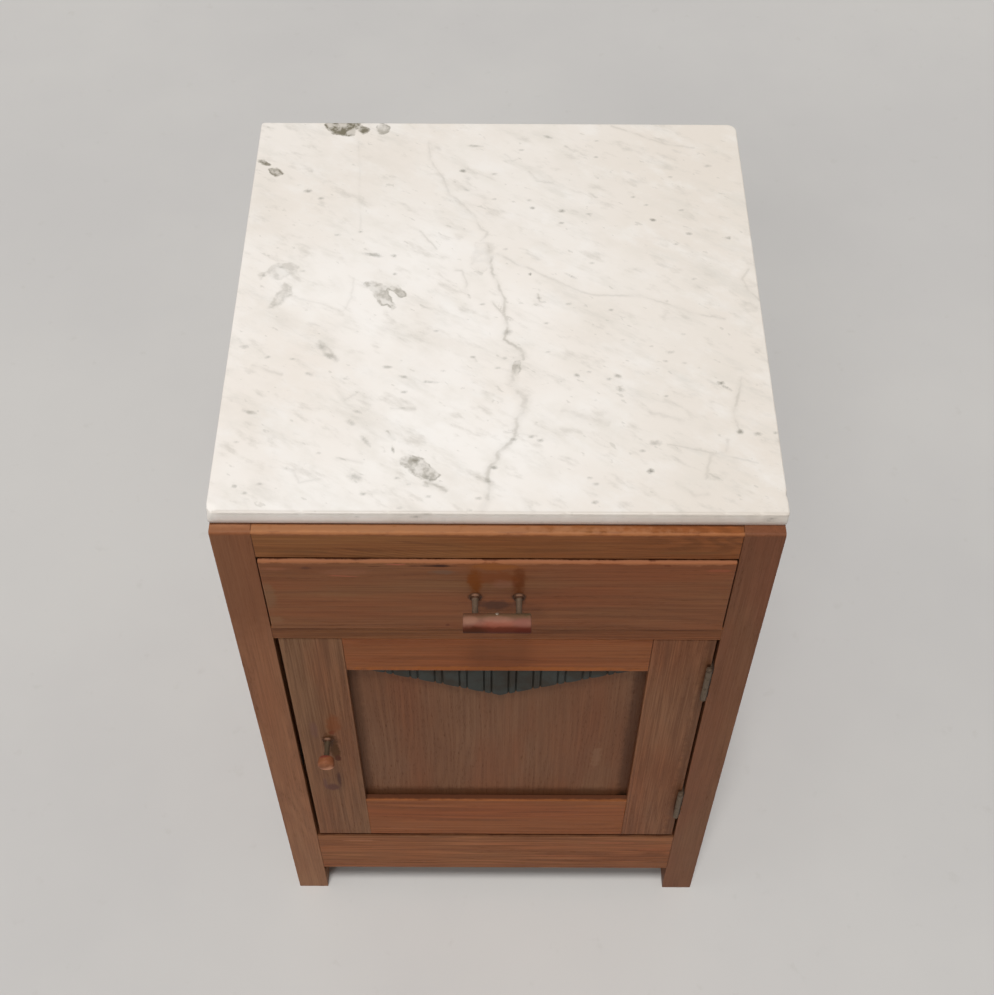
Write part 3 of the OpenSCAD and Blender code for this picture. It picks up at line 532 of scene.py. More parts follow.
# The slab's shadow, painted as a dark line at the back of the ledge, and a paler strip along the rounded edge.
under_slab = [mark_at((0, slab_low.y + 0.0006, rail_top), (0.9, 0.0022, 0.002), (76, 42, 26), 0.85, 0.3),
              mark_at((0, rail_face, rail_top - 0.0015), (0.9, 0.0022, 0.0032), (134, 80, 50), 0.6, 0.6)]
rail_marks = all_on(
    rail_face,
    (360, 550, 26, 1.8, (104, 64, 36), 0.5, 0.4, -8), (430, 544, 40, 2.0, (108, 66, 38), 0.5, 0.4, -8),
    (500, 540, 36, 1.4, (112, 70, 42), 0.45, 0.4, -6), (560, 551, 46, 2.2, (112, 70, 38), 0.5, 0.4, 3),
    (300, 552, 34, 3.2, (112, 74, 44), 0.5), (690, 553, 40, 2.4, (118, 78, 44), 0.5))
rail_marks += [
    mark_at((-0.1, rail_face + 0.003, rail_top), (0.26, 0.012, 0.0036), (172, 122, 88), 0.5, 0.8),
    *under_slab,
    *[mark_at((side, rail_face, rail_top - 0.016), (0.0009, 0.01, 0.03), (84, 44, 24), 0.8, 0.2)
      for side in (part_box("post_front_left")[1].x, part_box("post_front_right")[0].x)]]
post_middle = (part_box("post_front_left")[0].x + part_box("post_front_left")[1].x) / 2
post_marks = [
    mark_at((post_middle, rail_face + 0.002, rail_top), (0.03, 0.010, 0.0036), (182, 128, 92), 0.5, 0.9),
    # Painted shade on the left post's upper part, and the slab's painted shadow line.
    mark_at((post_middle, rail_face, 0.645), (0.06, 0.01, 0.15), (120, 73, 47), 0.6, 0.2), *under_slab]
low_rail_marks = [
    mark_at((0, low_rail_face + 0.004, low_rail_top), (0.9, 0.013, 0.0016), (66, 34, 16), 0.95, 0.2),
    *all_on(low_rail_face,
            (360, 840.5, 24, 1.0, (188, 132, 98), 0.6, 0.4), (610, 843, 40, 2.0, (172, 98, 62), 0.6),
            (560, 856, 50, 1.4, (168, 92, 58), 0.5), (420, 850, 36, 1.2, (112, 68, 46), 0.5),
            (650, 850, 22, 3.0, (158, 86, 52), 0.5), (480, 862, 60, 1.2, (116, 66, 40), 0.5))]
print(len(rail_marks + post_marks + low_rail_marks), "marks on rails and posts")

# %% [markdown]
# ## The boards' finishes
#
# Twelve finishes, one for each kind of board. The four colours of each are its base, its late wood,
# its paler wood and its rubbed arris, all set against the photograph board by board.

# %% Finishes of the boards
oak = {
    "post_left": waxed_oak("oak_post_left", (144, 98, 69), (103, 65, 46), (154, 113, 82), (167, 115, 80),
                           rings=9.0, band=0.2, streak=0.42, warm=0.3, worn=0.0012, rub=0.12,
                           marks=post_marks),
    "post_right": waxed_oak("oak_post_right", (122, 77, 54), (91, 55, 35), (126, 90, 63), (145, 97, 68),
                            rings=9.0, band=0.18, streak=0.4, warm=0.3, worn=0.0012, rub=0.12),
    "top_rail": waxed_oak("oak_top_rail", (140, 86, 48), (92, 54, 28), (147, 100, 60), (189, 126, 79),
                          rings=11.0, arch=1.8, band=0.38, streak=0.42, worn=0.0024, rub=0.35,
                          marks=rail_marks),
    "divider": waxed_oak("oak_divider", (130, 79, 48), (87, 49, 28), (140, 93, 55), (157, 100, 63),
                         rings=10.0, arch=0.5, band=0.4, streak=0.65, rub=0.3),
    "low_rail": waxed_oak("oak_bottom_rail", (149, 92, 56), (102, 59, 33), (166, 113, 73), (182, 125, 82),
                          rings=8.0, arch=0.8, band=0.42, streak=0.8, rub=0.12, marks=low_rail_marks),
    "drawer": waxed_oak("oak_drawer_front", (134, 84, 54), (94, 55, 34), (135, 95, 63), (162, 105, 71),
                        rings=9.0, arch=0.6, band=0.22, streak=0.42, warm=0.65, worn=0.0034, broken=0.9,
                        rub=0.65, marks=drawer_marks),
    "stile_left": waxed_oak("oak_stile_left", (132, 89, 61), (93, 60, 40), (139, 104, 75), (147, 103, 73),
                            rings=12.0, arch=0.3, band=0.2, streak=0.65, rub=0.25, marks=knob_marks),
    "stile_right": waxed_oak("oak_stile_right", (134, 84, 54), (91, 54, 34), (141, 103, 75), (145, 99, 69),
                             rings=12.0, arch=0.3, band=0.2, streak=0.65, rub=0.25, marks=hinge_marks),
    "door_rail": waxed_oak("oak_door_rail", (143, 84, 48), (105, 58, 31), (150, 93, 57), (176, 111, 68),
                           rings=8.0, arch=0.9, band=0.4, streak=0.48, worn=0.0016, rub=0.35,
                           marks=ledge_dirt),
    "panel": waxed_oak("oak_panel", (122, 80, 54), (87, 53, 36), (128, 91, 66), (122, 80, 54), arch=0.5,
                       band=0.18, streak=0.32, pore=0.3, tone=0.9, rub=0.1, marks=panel_marks),
    "frame": waxed_oak("oak_frame", (136, 85, 56), (96, 57, 36), (145, 98, 67), (160, 107, 75),
                       rings=10.0, band=0.25, streak=0.45, rub=0.4),
    "inside": waxed_oak("oak_inside", (184, 146, 104), (140, 102, 66), (198, 164, 124), (170, 132, 92),
                        rings=9.0, band=0.3, streak=0.45, pore=0.6, warm=0.2, rub=0.3, rough=0.7),
}
print(len(oak), "oak finishes")

# %% [markdown]
# ## Boards with eased arrises
#
# A real board is never as sharp as its drawing. Each board is a copy of its CAD solid whose loose
# triangles are merged, whose flat faces are joined, and whose long outer arrises are eased by a
# Bevel modifier that follows weights on the edges. Small joints (tenons, dovetails, bores) stay
# crisp. Afterwards the board gets its own coordinates for the grain, shifted by a number of its own,
# so that no two boards show the same figure.


# %% Copy a CAD solid and ease its arrises
def merged_copy(node):
    mesh = frame["nodes"][node].data.copy()
    work = bmesh.new()
    work.from_mesh(mesh)
    bmesh.ops.remove_doubles(work, verts=work.verts, dist=2e-6)
    bmesh.ops.dissolve_limit(work, angle_limit=math.radians(0.4), verts=work.verts, edges=work.edges)
    return mesh, work


def finished(mesh, name, material, sharp):
    """Puts a mesh in the scene as a piece with one material, smooth between its sharp edges."""
    mesh.materials.clear()
    mesh.materials.append(material)
    mesh.polygons.foreach_set("use_smooth", [True] * len(mesh.polygons))
    mesh.set_sharp_from_angle(angle=math.radians(sharp))
    piece = bpy.data.objects.new(name, mesh)
    bpy.context.scene.collection.objects.link(piece)
    return piece


def plain_mesh(piece):
    """The piece with its modifiers worked into its mesh."""
    done = bpy.data.meshes.new_from_object(piece.evaluated_get(bpy.context.evaluated_depsgraph_get()),
                                           preserve_all_data_layers=True,
                                           depsgraph=bpy.context.evaluated_depsgraph_get())
    piece.modifiers.clear()
    piece.data = done
    return piece


def stands_for(piece, node):
    """The piece takes the node's place and its body."""
    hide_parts(node)
    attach(piece, frame["nodes"][node]["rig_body"])
    return piece


slots = {n: o.data.materials[0].name for n, o in frame["nodes"].items()}
print("slots in use:", sorted(set(slots.values())))


# %% Ease one solid
def eased(node, name, material, ease, shortest=0.009, sharp=35.0):
    mesh, work = merged_copy(node)
    weight = work.edges.layers.float.new("bevel_weight_edge")
    chosen = 0
    for edge in work.edges:
        if len(edge.link_faces) == 2 and edge.is_convex and edge.calc_length() > shortest:
            if edge.calc_face_angle() > math.radians(40):
                edge[weight] = 1.0
                chosen += 1
    work.to_mesh(mesh)
    work.free()
    piece = finished(mesh, name, material, sharp)
    if chosen and ease > 0:
        bevel = piece.modifiers.new("ease", "BEVEL")
        bevel.width, bevel.segments, bevel.limit_method = ease, 2, "WEIGHT"
        bevel.use_clamp_overlap, bevel.harden_normals = False, True
        plain_mesh(piece)
    return piece


# %% A board's own coordinates
def shells(mesh):
    """For each vertex, the number of the connected shell that it belongs to."""
    label = np.arange(len(mesh.vertices))
    ends = np.empty(len(mesh.edges) * 2, np.int32)
    mesh.edges.foreach_get("vertices", ends)
    a, b = ends[0::2], ends[1::2]
    while True:
        low = np.minimum(label[a], label[b])
        before = label.copy()
        np.minimum.at(label, a, low)
        np.minimum.at(label, b, low)
        label = label[label]
        if np.array_equal(label, before):
            return label


FAR_AWAY = 1.0


def give_grain(piece, along, seed, worn_at):
    """Board coordinates along, across and deep in metres, with the corners of the board's box.

    A side whose arrises aren't worn has its corner moved far away: the ends on "long", and the ends
    and the lower side on "top".
    """
    mesh = piece.data
    co = np.empty(len(mesh.vertices) * 3, np.float32)
    mesh.vertices.foreach_get("co", co)
    co = co.reshape(-1, 3)
    at, low, high = np.empty_like(co), np.empty_like(co), np.empty_like(co)
    label = shells(mesh)
    for number, root in enumerate(np.unique(label)):
        own = label == root
        lo, hi = co[own].min(0), co[own].max(0)
        order = [along, *sorted((i for i in range(3) if i != along), key=lambda i: lo[i] - hi[i])]
        shift = np.array([seed * 0.731 + number * 0.31, seed * 0.417 + number * 0.13, seed * 0.293],
                         np.float32)
        at[own] = co[own][:, order] + shift
        low[own], high[own] = lo[order] + shift, hi[order] + shift
        if worn_at != "all":
            low[own, 0] -= FAR_AWAY
            high[own, 0] += FAR_AWAY
        if worn_at == "top":
            low[own, 1] -= FAR_AWAY
    for title, values in (("grain_at", at), ("board_low", low), ("board_high", high)):
        mesh.attributes.new(title, "FLOAT_VECTOR", "POINT").data.foreach_set("vector", values.ravel())
    return piece


print("grain follows each board")

# %% [markdown]
# ## All the boards
#
# The list names every wooden solid, its finish, the direction of its grain (x, y or z) and which of
# its arrises are worn: all, the long ones, or only those on top. Posts, stiles and panels run
# upright, rails run across, and the sides of drawer and carcass run from front to back.

# %% Make the boards
ALONG = {"x": 0, "y": 1, "z": 2}
boards = [
    ("post_front_left", "post_left", "z", "all"), ("post_front_right", "post_right", "z", "all"),
    ("post_back_left", "post_left", "z", "all"), ("post_back_right", "post_right", "z", "all"),
    ("front_top_rail", "top_rail", "x", "top"), ("drawer_divider_rail", "divider", "x", "long"),
    ("front_bottom_rail", "low_rail", "x", "long"), ("side_top_rail_left", "frame", "y", "long"),
    ("side_top_rail_right", "frame", "y", "long"), ("side_bottom_rail_left", "frame", "y", "long"),
    ("side_bottom_rail_right", "frame", "y", "long"), ("side_panel_left", "panel", "z", "long"),
    ("side_panel_right", "panel", "z", "long"), ("back_top_rail", "frame", "x", "long"),
    ("back_bottom_rail", "frame", "x", "long"), ("back_panel", "inside", "z", "long"),
    ("floor_board", "inside", "x", "long"), ("floor_cleats", "inside", "y", "long"),
    ("drawer_runner_left", "inside", "y", "long"), ("drawer_runner_right", "inside", "y", "long"),
    ("dust_board", "inside", "x", "long"), ("drawer_guides", "inside", "y", "long"),
    ("drawer_kickers", "inside", "y", "long"), ("drawer_stops", "inside", "x", "all"),
    ("door_stop", "inside", "z", "all"), ("door_stile_left", "stile_left", "z", "long"),
    ("door_stile_right", "stile_right", "z", "long"), ("door_top_rail", "door_rail", "x", "long"),
    ("door_bottom_rail", "door_rail", "x", "long"), ("door_panel", "panel", "z", "long"),
    ("drawer_front", "drawer", "x", "top"), ("drawer_side_left", "inside", "y", "all"),
    ("drawer_side_right", "inside", "y", "all"), ("drawer_back", "inside", "x", "all"),
    ("drawer_bottom", "inside", "x", "long"),
]
open_edges = {}
for seed, (node, finish, along, worn_at) in enumerate(boards, 1):
    board = eased(node, node + "_board", oak[finish], ease=0.0009 if finish != "inside" else 0.0006)
    give_grain(board, ALONG[along], seed, worn_at)
    stands_for(board, node)
    counts = np.bincount([corner.edge_index for corner in board.data.loops], minlength=len(board.data.edges))
    open_edges[node] = int((counts != 2).sum())
print(len(boards), "boards; open edges:", {n: c for n, c in open_edges.items() if c})

# %% [markdown]
# ## The marble slab
#
# The slab is a plain rectangle with slightly rounded corners, one of them broken and one worn round.
# A flat box would lose its soft polished arris, so the top is a fine grid whose rows crowd together
# near the outline and sink there along a quarter circle. The grid has a second use: each of its
# points can hold a number, and the veins are stored as numbers in place of a picture.

# %% Slab: the grid of its top
ARRIS, CORNER, WORN_CORNER, GRID = 0.0014, 0.003, 0.009, 0.00152


def crowded(low, high, step):
    near = np.array([0.0, 0.10, 0.35, 0.75]) * ARRIS
    middle = np.linspace(low + ARRIS, high - ARRIS, int(round((high - low) / step)))
    return np.concatenate([low + near, middle, (high - near)[::-1]])


xs, ys = crowded(slab_low.x, slab_high.x, GRID), crowded(slab_low.y, slab_high.y, GRID)
grid_x, grid_y = np.meshgrid(xs, ys)
square_x, square_y = grid_x.copy(), grid_y.copy()
inset = np.minimum(np.minimum(grid_x - slab_low.x, slab_high.x - grid_x),
                   np.minimum(grid_y - slab_low.y, slab_high.y - grid_y))
for corner_x, corner_y, radius in ((slab_low.x, slab_low.y, CORNER), (slab_high.x, slab_low.y, CORNER),
                                   (slab_low.x, slab_high.y, CORNER), (slab_high.x, slab_high.y, WORN_CORNER)):
    centre_x = corner_x - math.copysign(radius, corner_x)
    centre_y = corner_y - math.copysign(radius, corner_y - slab_low.y - 0.1)
    dx, dy = square_x - centre_x, square_y - centre_y
    inside = (dx * (corner_x - centre_x) > 0) & (dy * (corner_y - centre_y) > 0)
    shrink = np.maximum(abs(dx), abs(dy)) / np.maximum(np.hypot(dx, dy), 1e-9)
    grid_x = np.where(inside, centre_x + dx * shrink, grid_x)
    grid_y = np.where(inside, centre_y + dy * shrink, grid_y)
sink = np.clip(ARRIS - inset, 0, ARRIS)
grid_z = slab_high.z - (ARRIS - np.sqrt(ARRIS ** 2 - sink ** 2))
print("slab grid", grid_x.shape, "points")

# %% Slab: close it and break its corner
rows, columns = grid_x.shape
top = np.stack([grid_x, grid_y, grid_z], -1).reshape(-1, 3)
number = np.arange(rows * columns).reshape(rows, columns)
rim = np.concatenate([number[0, :-1], number[:-1, -1], number[-1, :0:-1], number[:0:-1, 0]])
levels = [slab_high.z - 0.0045, slab_high.z - 0.0085, slab_low.z + 0.0012, slab_low.z]
pull_in = [0.0, 0.0, 0.0, 0.0007]
walls, middle_point = [], np.array([0.0, (slab_low.y + slab_high.y) / 2])
for level_z, inward in zip(levels, pull_in):
    ring = top[rim].copy()
    ring[:, :2] -= np.sign(ring[:, :2] - middle_point) * inward
    ring[:, 2] = level_z
    walls.append(ring)
points = np.concatenate([top, *walls])
faces = np.stack([number[:-1, :-1], number[:-1, 1:], number[1:, 1:], number[1:, :-1]], -1)
faces = faces.reshape(-1, 4).tolist()
count, upper = len(rim), rim
for n in range(len(levels)):
    lower = rows * columns + n * count + np.arange(count)
    faces += np.stack([upper, lower, np.roll(lower, -1), np.roll(upper, -1)], -1).tolist()
    upper = lower
faces.append(upper[::-1].tolist())


def bitten(spot, reach, depth, sideways):
    """Knocks a chip out of the slab: points near the spot go down and inwards."""
    away = np.linalg.norm(points - np.array(spot), axis=1)
    for i in np.nonzero(away < reach)[0]:
        share = (1 - away[i] / reach) ** 0.8
        share *= 0.75 + 0.5 * noise.noise(Vector(points[i]) * 400)
        points[i] += np.array([*sideways, -1.0]) * depth * max(share, 0)


bitten((slab_low.x, slab_low.y, slab_high.z), 0.0085, 0.0026, (0.8, 0.7))
for x in (-0.148, -0.083, -0.021, 0.052, 0.117, 0.171, 0.198):
    bitten((x, slab_low.y, slab_high.z), 0.0032, 0.0007, (0.0, 0.9))
bitten((slab_high.x, slab_low.y + 0.02, slab_high.z), 0.004, 0.0009, (-0.9, 0.0))
points[:, 2] = np.clip(points[:, 2], slab_low.z, slab_high.z)
slab_mesh = bpy.data.meshes.new("marble_slab")
slab_mesh.from_pydata(points.tolist(), [], faces)
slab_mesh.validate()
print("slab", len(slab_mesh.vertices), "points,", len(slab_mesh.polygons), "faces")

# %% [markdown]
# ## Veins, patches and spots of the marble
#
# No noise gives just these veins, so they are drawn one by one: each is a short chain of pixels read
# off the photograph, with a width in millimetres and a strength. Patches are closed rings of such
# pixels, with a grey for the inside and one for the rim. Spots and the smaller specks are single
# pixels with a size. The next cells turn all of them into numbers on the slab's grid.

# %% Veins read off the photograph
# each: width in mm, strength, then the pixels that it passes
veins = [
    (1.6, 0.2, (429, 141), (430, 160), (443, 178), (449, 194), (458, 200), (474, 216), (480, 228), (487, 232),
     (486, 236), (481, 241)),
    (1.5, 0.2, (497, 253), (508, 259), (518, 265), (526, 267), (535, 271), (544, 276), (555, 280), (582, 292),
     (594, 295), (641, 296), (664, 303), (696, 314), (725, 319)),
    (1.8, 0.36, (488, 244), (491, 262), (492, 272), (497, 281), (500, 290), (504, 298), (505, 303), (504, 312),
     (508, 328), (504, 339)),
    (2.0, 0.45, (504, 339), (510, 343), (520, 349), (523, 353), (523, 360)),
    (3.0, 0.32, (516, 365), (512, 377), (513, 384), (518, 391), (524, 397), (526, 400), (522, 412), (516, 420)),
    (2.4, 0.36, (516, 420), (517, 429), (513, 440), (499, 452), (496, 461), (489, 468), (487, 477), (490, 485),
     (488, 496), (482, 512)),
    (1.2, 0.3, (492, 301), (499, 310), (505, 315), (513, 320)), (1.2, 0.3, (538, 294), (540, 302), (545, 302)),
    (1.4, 0.2, (455, 270.5), (462, 270.5), (467, 284), (465, 290), (470, 298)),
    (1.6, 0.45, (387, 431), (394, 440)), (1.2, 0.35, (472, 356), (477, 361)),
    (1.3, 0.24, (420, 231), (437, 249)),
    (2.2, 0.5, (424, 482), (432, 484), (440, 487), (447, 491)), (1.3, 0.18, (504, 432), (537, 436)),
    (1.6, 0.2, (611, 126), (639, 135), (664, 144), (694, 148)), (1.4, 0.27, (565, 146), (574, 152)),
    (1.4, 0.16, (505, 154), (512, 161), (521, 158)), (1.4, 0.18, (529, 171), (537, 181), (553, 183)),
    (1.6, 0.2, (749, 269), (742, 279), (749, 291), (760, 300)), (1.9, 0.2, (252, 365), (282, 375)),
    (1.8, 0.27, (742, 377), (737, 400), (734, 414), (740, 432)), (1.6, 0.2, (391, 408), (416, 409)),
    (1.9, 0.18, (728, 439), (726, 453), (711, 455), (706, 479)), (1.3, 0.2, (668, 444), (723, 455), (758, 463)),
    (3.6, 0.2, (562, 410), (609, 424)), (2.4, 0.16, (649, 412), (684, 421)),
    (2.2, 0.16, (676, 483), (696, 496), (709, 494)), (1.6, 0.15, (292, 469), (299, 482), (322, 479)),
    (1.4, 0.22, (337, 458), (363, 463)), (1.6, 0.16, (336, 388), (345, 400), (357, 393)),
    (1.8, 0.22, (319, 341), (330, 350), (337, 362)),
    (1.2, 0.1, (358, 138), (360, 170), (359, 196), (361, 220), (360, 232)),
    (1.4, 0.11, (293, 298), (320, 303), (343, 312), (351, 298), (354, 280)),
]
print(len(veins), "veins")

# %% Patches read off the photograph
# each: how grey its inside is, how grey its rim, then its corners as pixels
patches = [
    (0.95, 0.9, (325, 124), (332, 121.5), (342, 122.4), (351, 121), (358, 122), (360, 127), (353, 135),
     (345, 135), (334, 133), (327, 129)),
    (0.8, 0.8, (360, 126), (369, 128), (370, 131), (363, 134), (357, 131)),
    (0.45, 0.7, (376, 126), (382, 124), (389, 127), (388, 132), (381, 134), (377, 131)),
    (0.8, 0.9, (257, 160), (262, 159), (270, 165.5), (263, 164.5)),
    (0.7, 0.9, (269, 169), (276, 169), (283, 174), (276.5, 176), (271, 174)),
    (0.22, 0.05, (259, 274), (265, 271), (276, 263), (294, 262), (299, 267), (298, 273), (288, 276), (280, 280),
     (271, 279), (267, 273), (261, 280)),
    (0.26, 0.08, (284, 282), (292, 286), (292, 294), (284, 301), (275, 307), (266, 309), (273, 299), (276, 294),
     (282, 290)),
    (0.42, 0.6, (365.5, 282), (372, 282), (384, 285), (397, 287), (403, 292), (405, 296), (400, 297),
     (395, 292), (388, 289), (391, 301), (396, 307), (393, 309), (388, 304), (382, 305), (378, 299),
     (372, 292), (366, 286)),
    (0.45, 0.6, (400.5, 458), (406, 456), (414, 457), (420, 459), (428, 465), (435, 472), (440, 476),
     (435, 479), (431, 481), (426, 480), (419, 476), (412, 473), (405, 467), (401, 464)),
    (0.08, 0.12, (476, 243), (483, 242), (492, 244), (496, 247), (495, 254), (490, 261), (488, 268), (482, 273),
     (474, 270), (471, 265), (473, 256)),
    (0.45, 0.4, (515, 362), (520, 360), (519, 370), (516, 375), (513, 367)),
]
print(len(patches), "patches")

# %% Spots read off the photograph
# each: pixel x, pixel y, half length and half width in mm, turn in degrees, strength
spots = [
    (322, 348, 7, 3, -50, 0.35), (330, 356, 8, 3, -35, 0.35), (467, 190, 3, 1.5, -30, 0.3),
    (475, 146, 7, 1.8, 0, 0.4), (394, 256, 3, 2.5, 0, 0.7), (373, 255, 8, 2.2, -10, 0.5),
    (308, 191, 3.5, 2.5, 0, 0.6), (321, 198, 3, 2, 0, 0.5), (463, 171, 3, 2, 0, 0.6),
    (548, 137, 6, 1.8, -30, 0.4), (532, 208, 3, 2, 0, 0.7), (562, 211, 3, 2, 0, 0.65),
    (653, 220, 3, 2, -30, 0.6), (689, 234, 3, 2, 0, 0.6), (728, 238, 3, 2, 0, 0.6),
    (707, 166, 4, 2, 0, 0.3), (530, 274, 1.6, 1.6, 0, 0.8), (571, 276, 7, 1.6, -35, 0.4),
    (245, 347, 4, 2, 0, 0.3), (309, 374, 4, 2, -30, 0.35), (388, 367, 5, 1.8, 0, 0.4),
    (404, 377, 4, 1.6, -20, 0.4), (430, 382, 6, 1.6, 0, 0.45), (357, 412, 4, 2, -20, 0.4),
    (351, 423, 5, 2.5, -30, 0.3), (249, 412, 6, 2, -20, 0.4), (365, 441, 6, 2.5, -50, 0.45),
    (355, 477, 6, 3, -10, 0.3), (234, 486, 2.4, 2, 0, 0.65), (671, 352, 4, 2, 0, 0.4),
    (578, 376, 4, 2, -30, 0.5), (618, 376, 4, 2, -30, 0.5), (620, 389, 4, 2.5, -30, 0.4),
    (721, 383, 3, 2, 0, 0.75), (727, 388, 5, 1.5, -40, 0.5), (758, 434, 4, 2, 0, 0.4),
    (655, 443, 5, 3, 0, 0.35), (651, 471, 3, 2.5, 0, 0.75), (541, 440, 3, 2, 0, 0.6),
    (595, 502, 3, 2, 0, 0.6), (740, 432, 3, 2.5, 0, 0.6), (416, 517, 4, 1.6, 0, 0.5),
    (426, 514, 4, 1.6, 0, 0.5), (770, 520, 7, 2.5, 0, 0.7), (393, 449.5, 4, 1.2, -80, 0.5),
    (414, 461, 4, 2.2, -10, 0.7), (430, 478, 5, 2.5, -30, 0.6), (513, 439.5, 3, 2, 0, 0.5),
    (494, 467.5, 3, 2, 0, 0.5), (488, 481, 3, 2, 0, 0.5), (508, 332, 3.5, 3.5, 0, 0.3),
    (530, 274.7, 1.4, 1.4, 0, 0.8),
]
# small pale-grey specks, all of one size
specks = [
    (396, 478), (409, 484), (428, 496.5), (399.5, 508), (423, 513.5), (429, 513.5), (531, 437),
    (478.6, 498), (470, 510), (521, 303), (482, 304), (546.5, 323), (547.6, 352), (505, 358), (497, 368),
    (506, 249), (281, 267), (263, 275.5), (303, 271), (308, 192), (321, 198), (464, 171), (494, 199),
    (495, 174), (361, 232), (337, 235), (395, 274), (481, 304), (596, 141), (596, 157),
    (522, 150), (529, 200), (562, 223), (589, 214), (633, 197), (646, 205), (682, 210), (676, 244),
    (670, 177), (592, 263), (694, 279), (539, 298), (568, 304), (611, 310), (268, 357), (292, 359),
    (436, 331), (404, 392), (473, 357), (443, 371), (236, 442), (318, 453), (244, 493), (260, 484),
    (363, 494), (548, 352), (623, 340), (683, 334), (666, 361), (685, 363), (589, 372), (609, 379),
    (666, 396), (775, 433), (643, 451), (590, 478), (596, 484), (357, 517),
]
spots += [(px, py, 2.6, 1.5, 0, 0.35) for px, py in specks]
print(len(spots), "spots")


# %% [markdown]
# ## Distances kept on the grid
#
# Each point of the grid keeps its signed distance to the nearest vein. The sign matters, because
# between a point on the left and one on the right the distance passes through zero exactly on the
# vein, however coarse the grid is. The slab's sides are folded out flat first, so that a vein runs
# on over the arris.

# %% Each point's distance to the veins
FAR = 8.0
SIDE = 0.0016


def laid_flat(place):
    """Points of the slab on one plane, with its sides folded out to the level of its top."""
    drop = slab_high.z - place[:, 2]
    flat = place[:, :2].copy()
    for axis in (0, 1):
        flat[:, axis] -= drop * (place[:, axis] - slab_low[axis] < SIDE)
        flat[:, axis] += drop * (slab_high[axis] - place[:, axis] < SIDE)
    return flat


def slab_point(px, py):
    seen = seen_at(px, py, 2, slab_high.z)
    if seen.y < slab_low.y:
        seen = seen_at(px, py, 1, slab_low.y)
    return laid_flat(np.array([seen]))[0]


flat = laid_flat(points.astype(np.float64))


def nearest_on(start, run):
    """Each point's place along a run (0 to 1 on it) and its offset from the run."""
    share = ((flat - start) @ run) / (run @ run)
    return share, flat - (start + np.clip(share, 0, 1)[:, None] * run)


vein, ink = np.full(len(flat), FAR), np.zeros(len(flat))
for width, strength, *chain in veins:
    chain = np.array([slab_point(*p) for p in chain])
    runs = np.diff(chain, axis=0)
    ways = runs / np.linalg.norm(runs, axis=1)[:, None]
    for n, (start, run) in enumerate(zip(chain, runs)):
        share, off = nearest_on(start, run)
        far = np.linalg.norm(off, axis=1) / (width * 0.001)
        before, after = ways[n] + ways[max(n - 1, 0)], ways[n] + ways[min(n + 1, len(ways) - 1)]
        way = np.where(share[:, None] < 0, before, np.where(share[:, None] > 1, after, ways[n]))
        side = np.where(way[:, 0] * off[:, 1] - way[:, 1] * off[:, 0] >= 0, 1.0, -1.0)
        past = np.maximum(-share if n == 0 else 0, share - 1 if n == len(runs) - 1 else 0) * np.linalg.norm(run)
        fade = np.clip(1 - past / 0.0015, 0, 1) * np.clip(2 - far / 1.5, 0, 1)
        closer = far < abs(vein)
        vein, ink = np.where(closer, side * far, vein), np.where(closer, strength * fade, ink)
print("points near a vein:", int((ink > 0).sum()))

# %% [markdown]
# ## Distances to patches and spots
#
# A point is inside a patch if a line from it to one side crosses the ring an odd number of times. It
# keeps its distance to the rim, plus inside and minus outside. For a spot it keeps how deep it lies
# in the spot's ellipse: 1 in the middle, 0 on the rim, less outside.

# %% Distance to the patches
patch, patch_fill, patch_rim = np.full(len(flat), -FAR), np.zeros(len(flat)), np.zeros(len(flat))
for inner_ink, rim_ink, *corners in patches:
    ring = np.array([slab_point(*p) for p in corners])
    far, inside = np.full(len(flat), 1.0), np.zeros(len(flat), bool)
    for a, b in zip(ring, np.roll(ring, -1, 0)):
        far = np.minimum(far, np.linalg.norm(nearest_on(a, b - a)[1], axis=1))
        slope = (b[0] - a[0]) / ((b[1] - a[1]) or 1.0)
        crosses = (a[1] > flat[:, 1]) != (b[1] > flat[:, 1])
        inside ^= crosses & (flat[:, 0] < a[0] + slope * (flat[:, 1] - a[1]))
    signed = np.where(inside, far, -far) * 1000
    closer = (signed > patch) & (signed > -4)
    patch, patch_fill = np.where(closer, signed, patch), np.where(closer, inner_ink, patch_fill)
    patch_rim = np.where(closer, rim_ink, patch_rim)
print("points inside a patch:", int((patch > 0).sum()))

# %% Spots, and the numbers kept on the grid
spot, spot_ink = np.full(len(flat), -1.0), np.zeros(len(flat))
for px, py, long, wide, turn, strength in spots:
    off = (flat - slab_point(px, py)) * 1000
    c, s = math.cos(math.radians(turn)), math.sin(math.radians(turn))
    field = 1 - np.hypot((off[:, 0] * c + off[:, 1] * s) / long, (off[:, 1] * c - off[:, 0] * s) / wide)
    closer = (field > spot) & (field > -1.2)
    spot, spot_ink = np.where(closer, field, spot), np.where(closer, strength, spot_ink)
kept = {"vein": vein, "vein_ink": ink, "spot": spot, "spot_ink": spot_ink,
        "patch": patch, "patch_fill": patch_fill, "patch_rim": patch_rim}
for title, values in kept.items():
    slab_mesh.attributes.new(title, "FLOAT", "POINT").data.foreach_set("value", values.astype(np.float32))
print("points inside a spot:", int((spot > 0).sum()))

# %% [markdown]
# ## The marble itself
#
# White marble is never one white. The material lays clouds of several sizes over each other, some of
# them drawn out along the diagonal, and a slow darkening to the back and to the right. Small flecks
# come next, and then the drawn veins, spots and patches. The stored distances are roughened with
# noise before they are cut off, so the drawn lines wander like real ones. The rounded upper front edge
# has painted shade, a little darker and yellower.


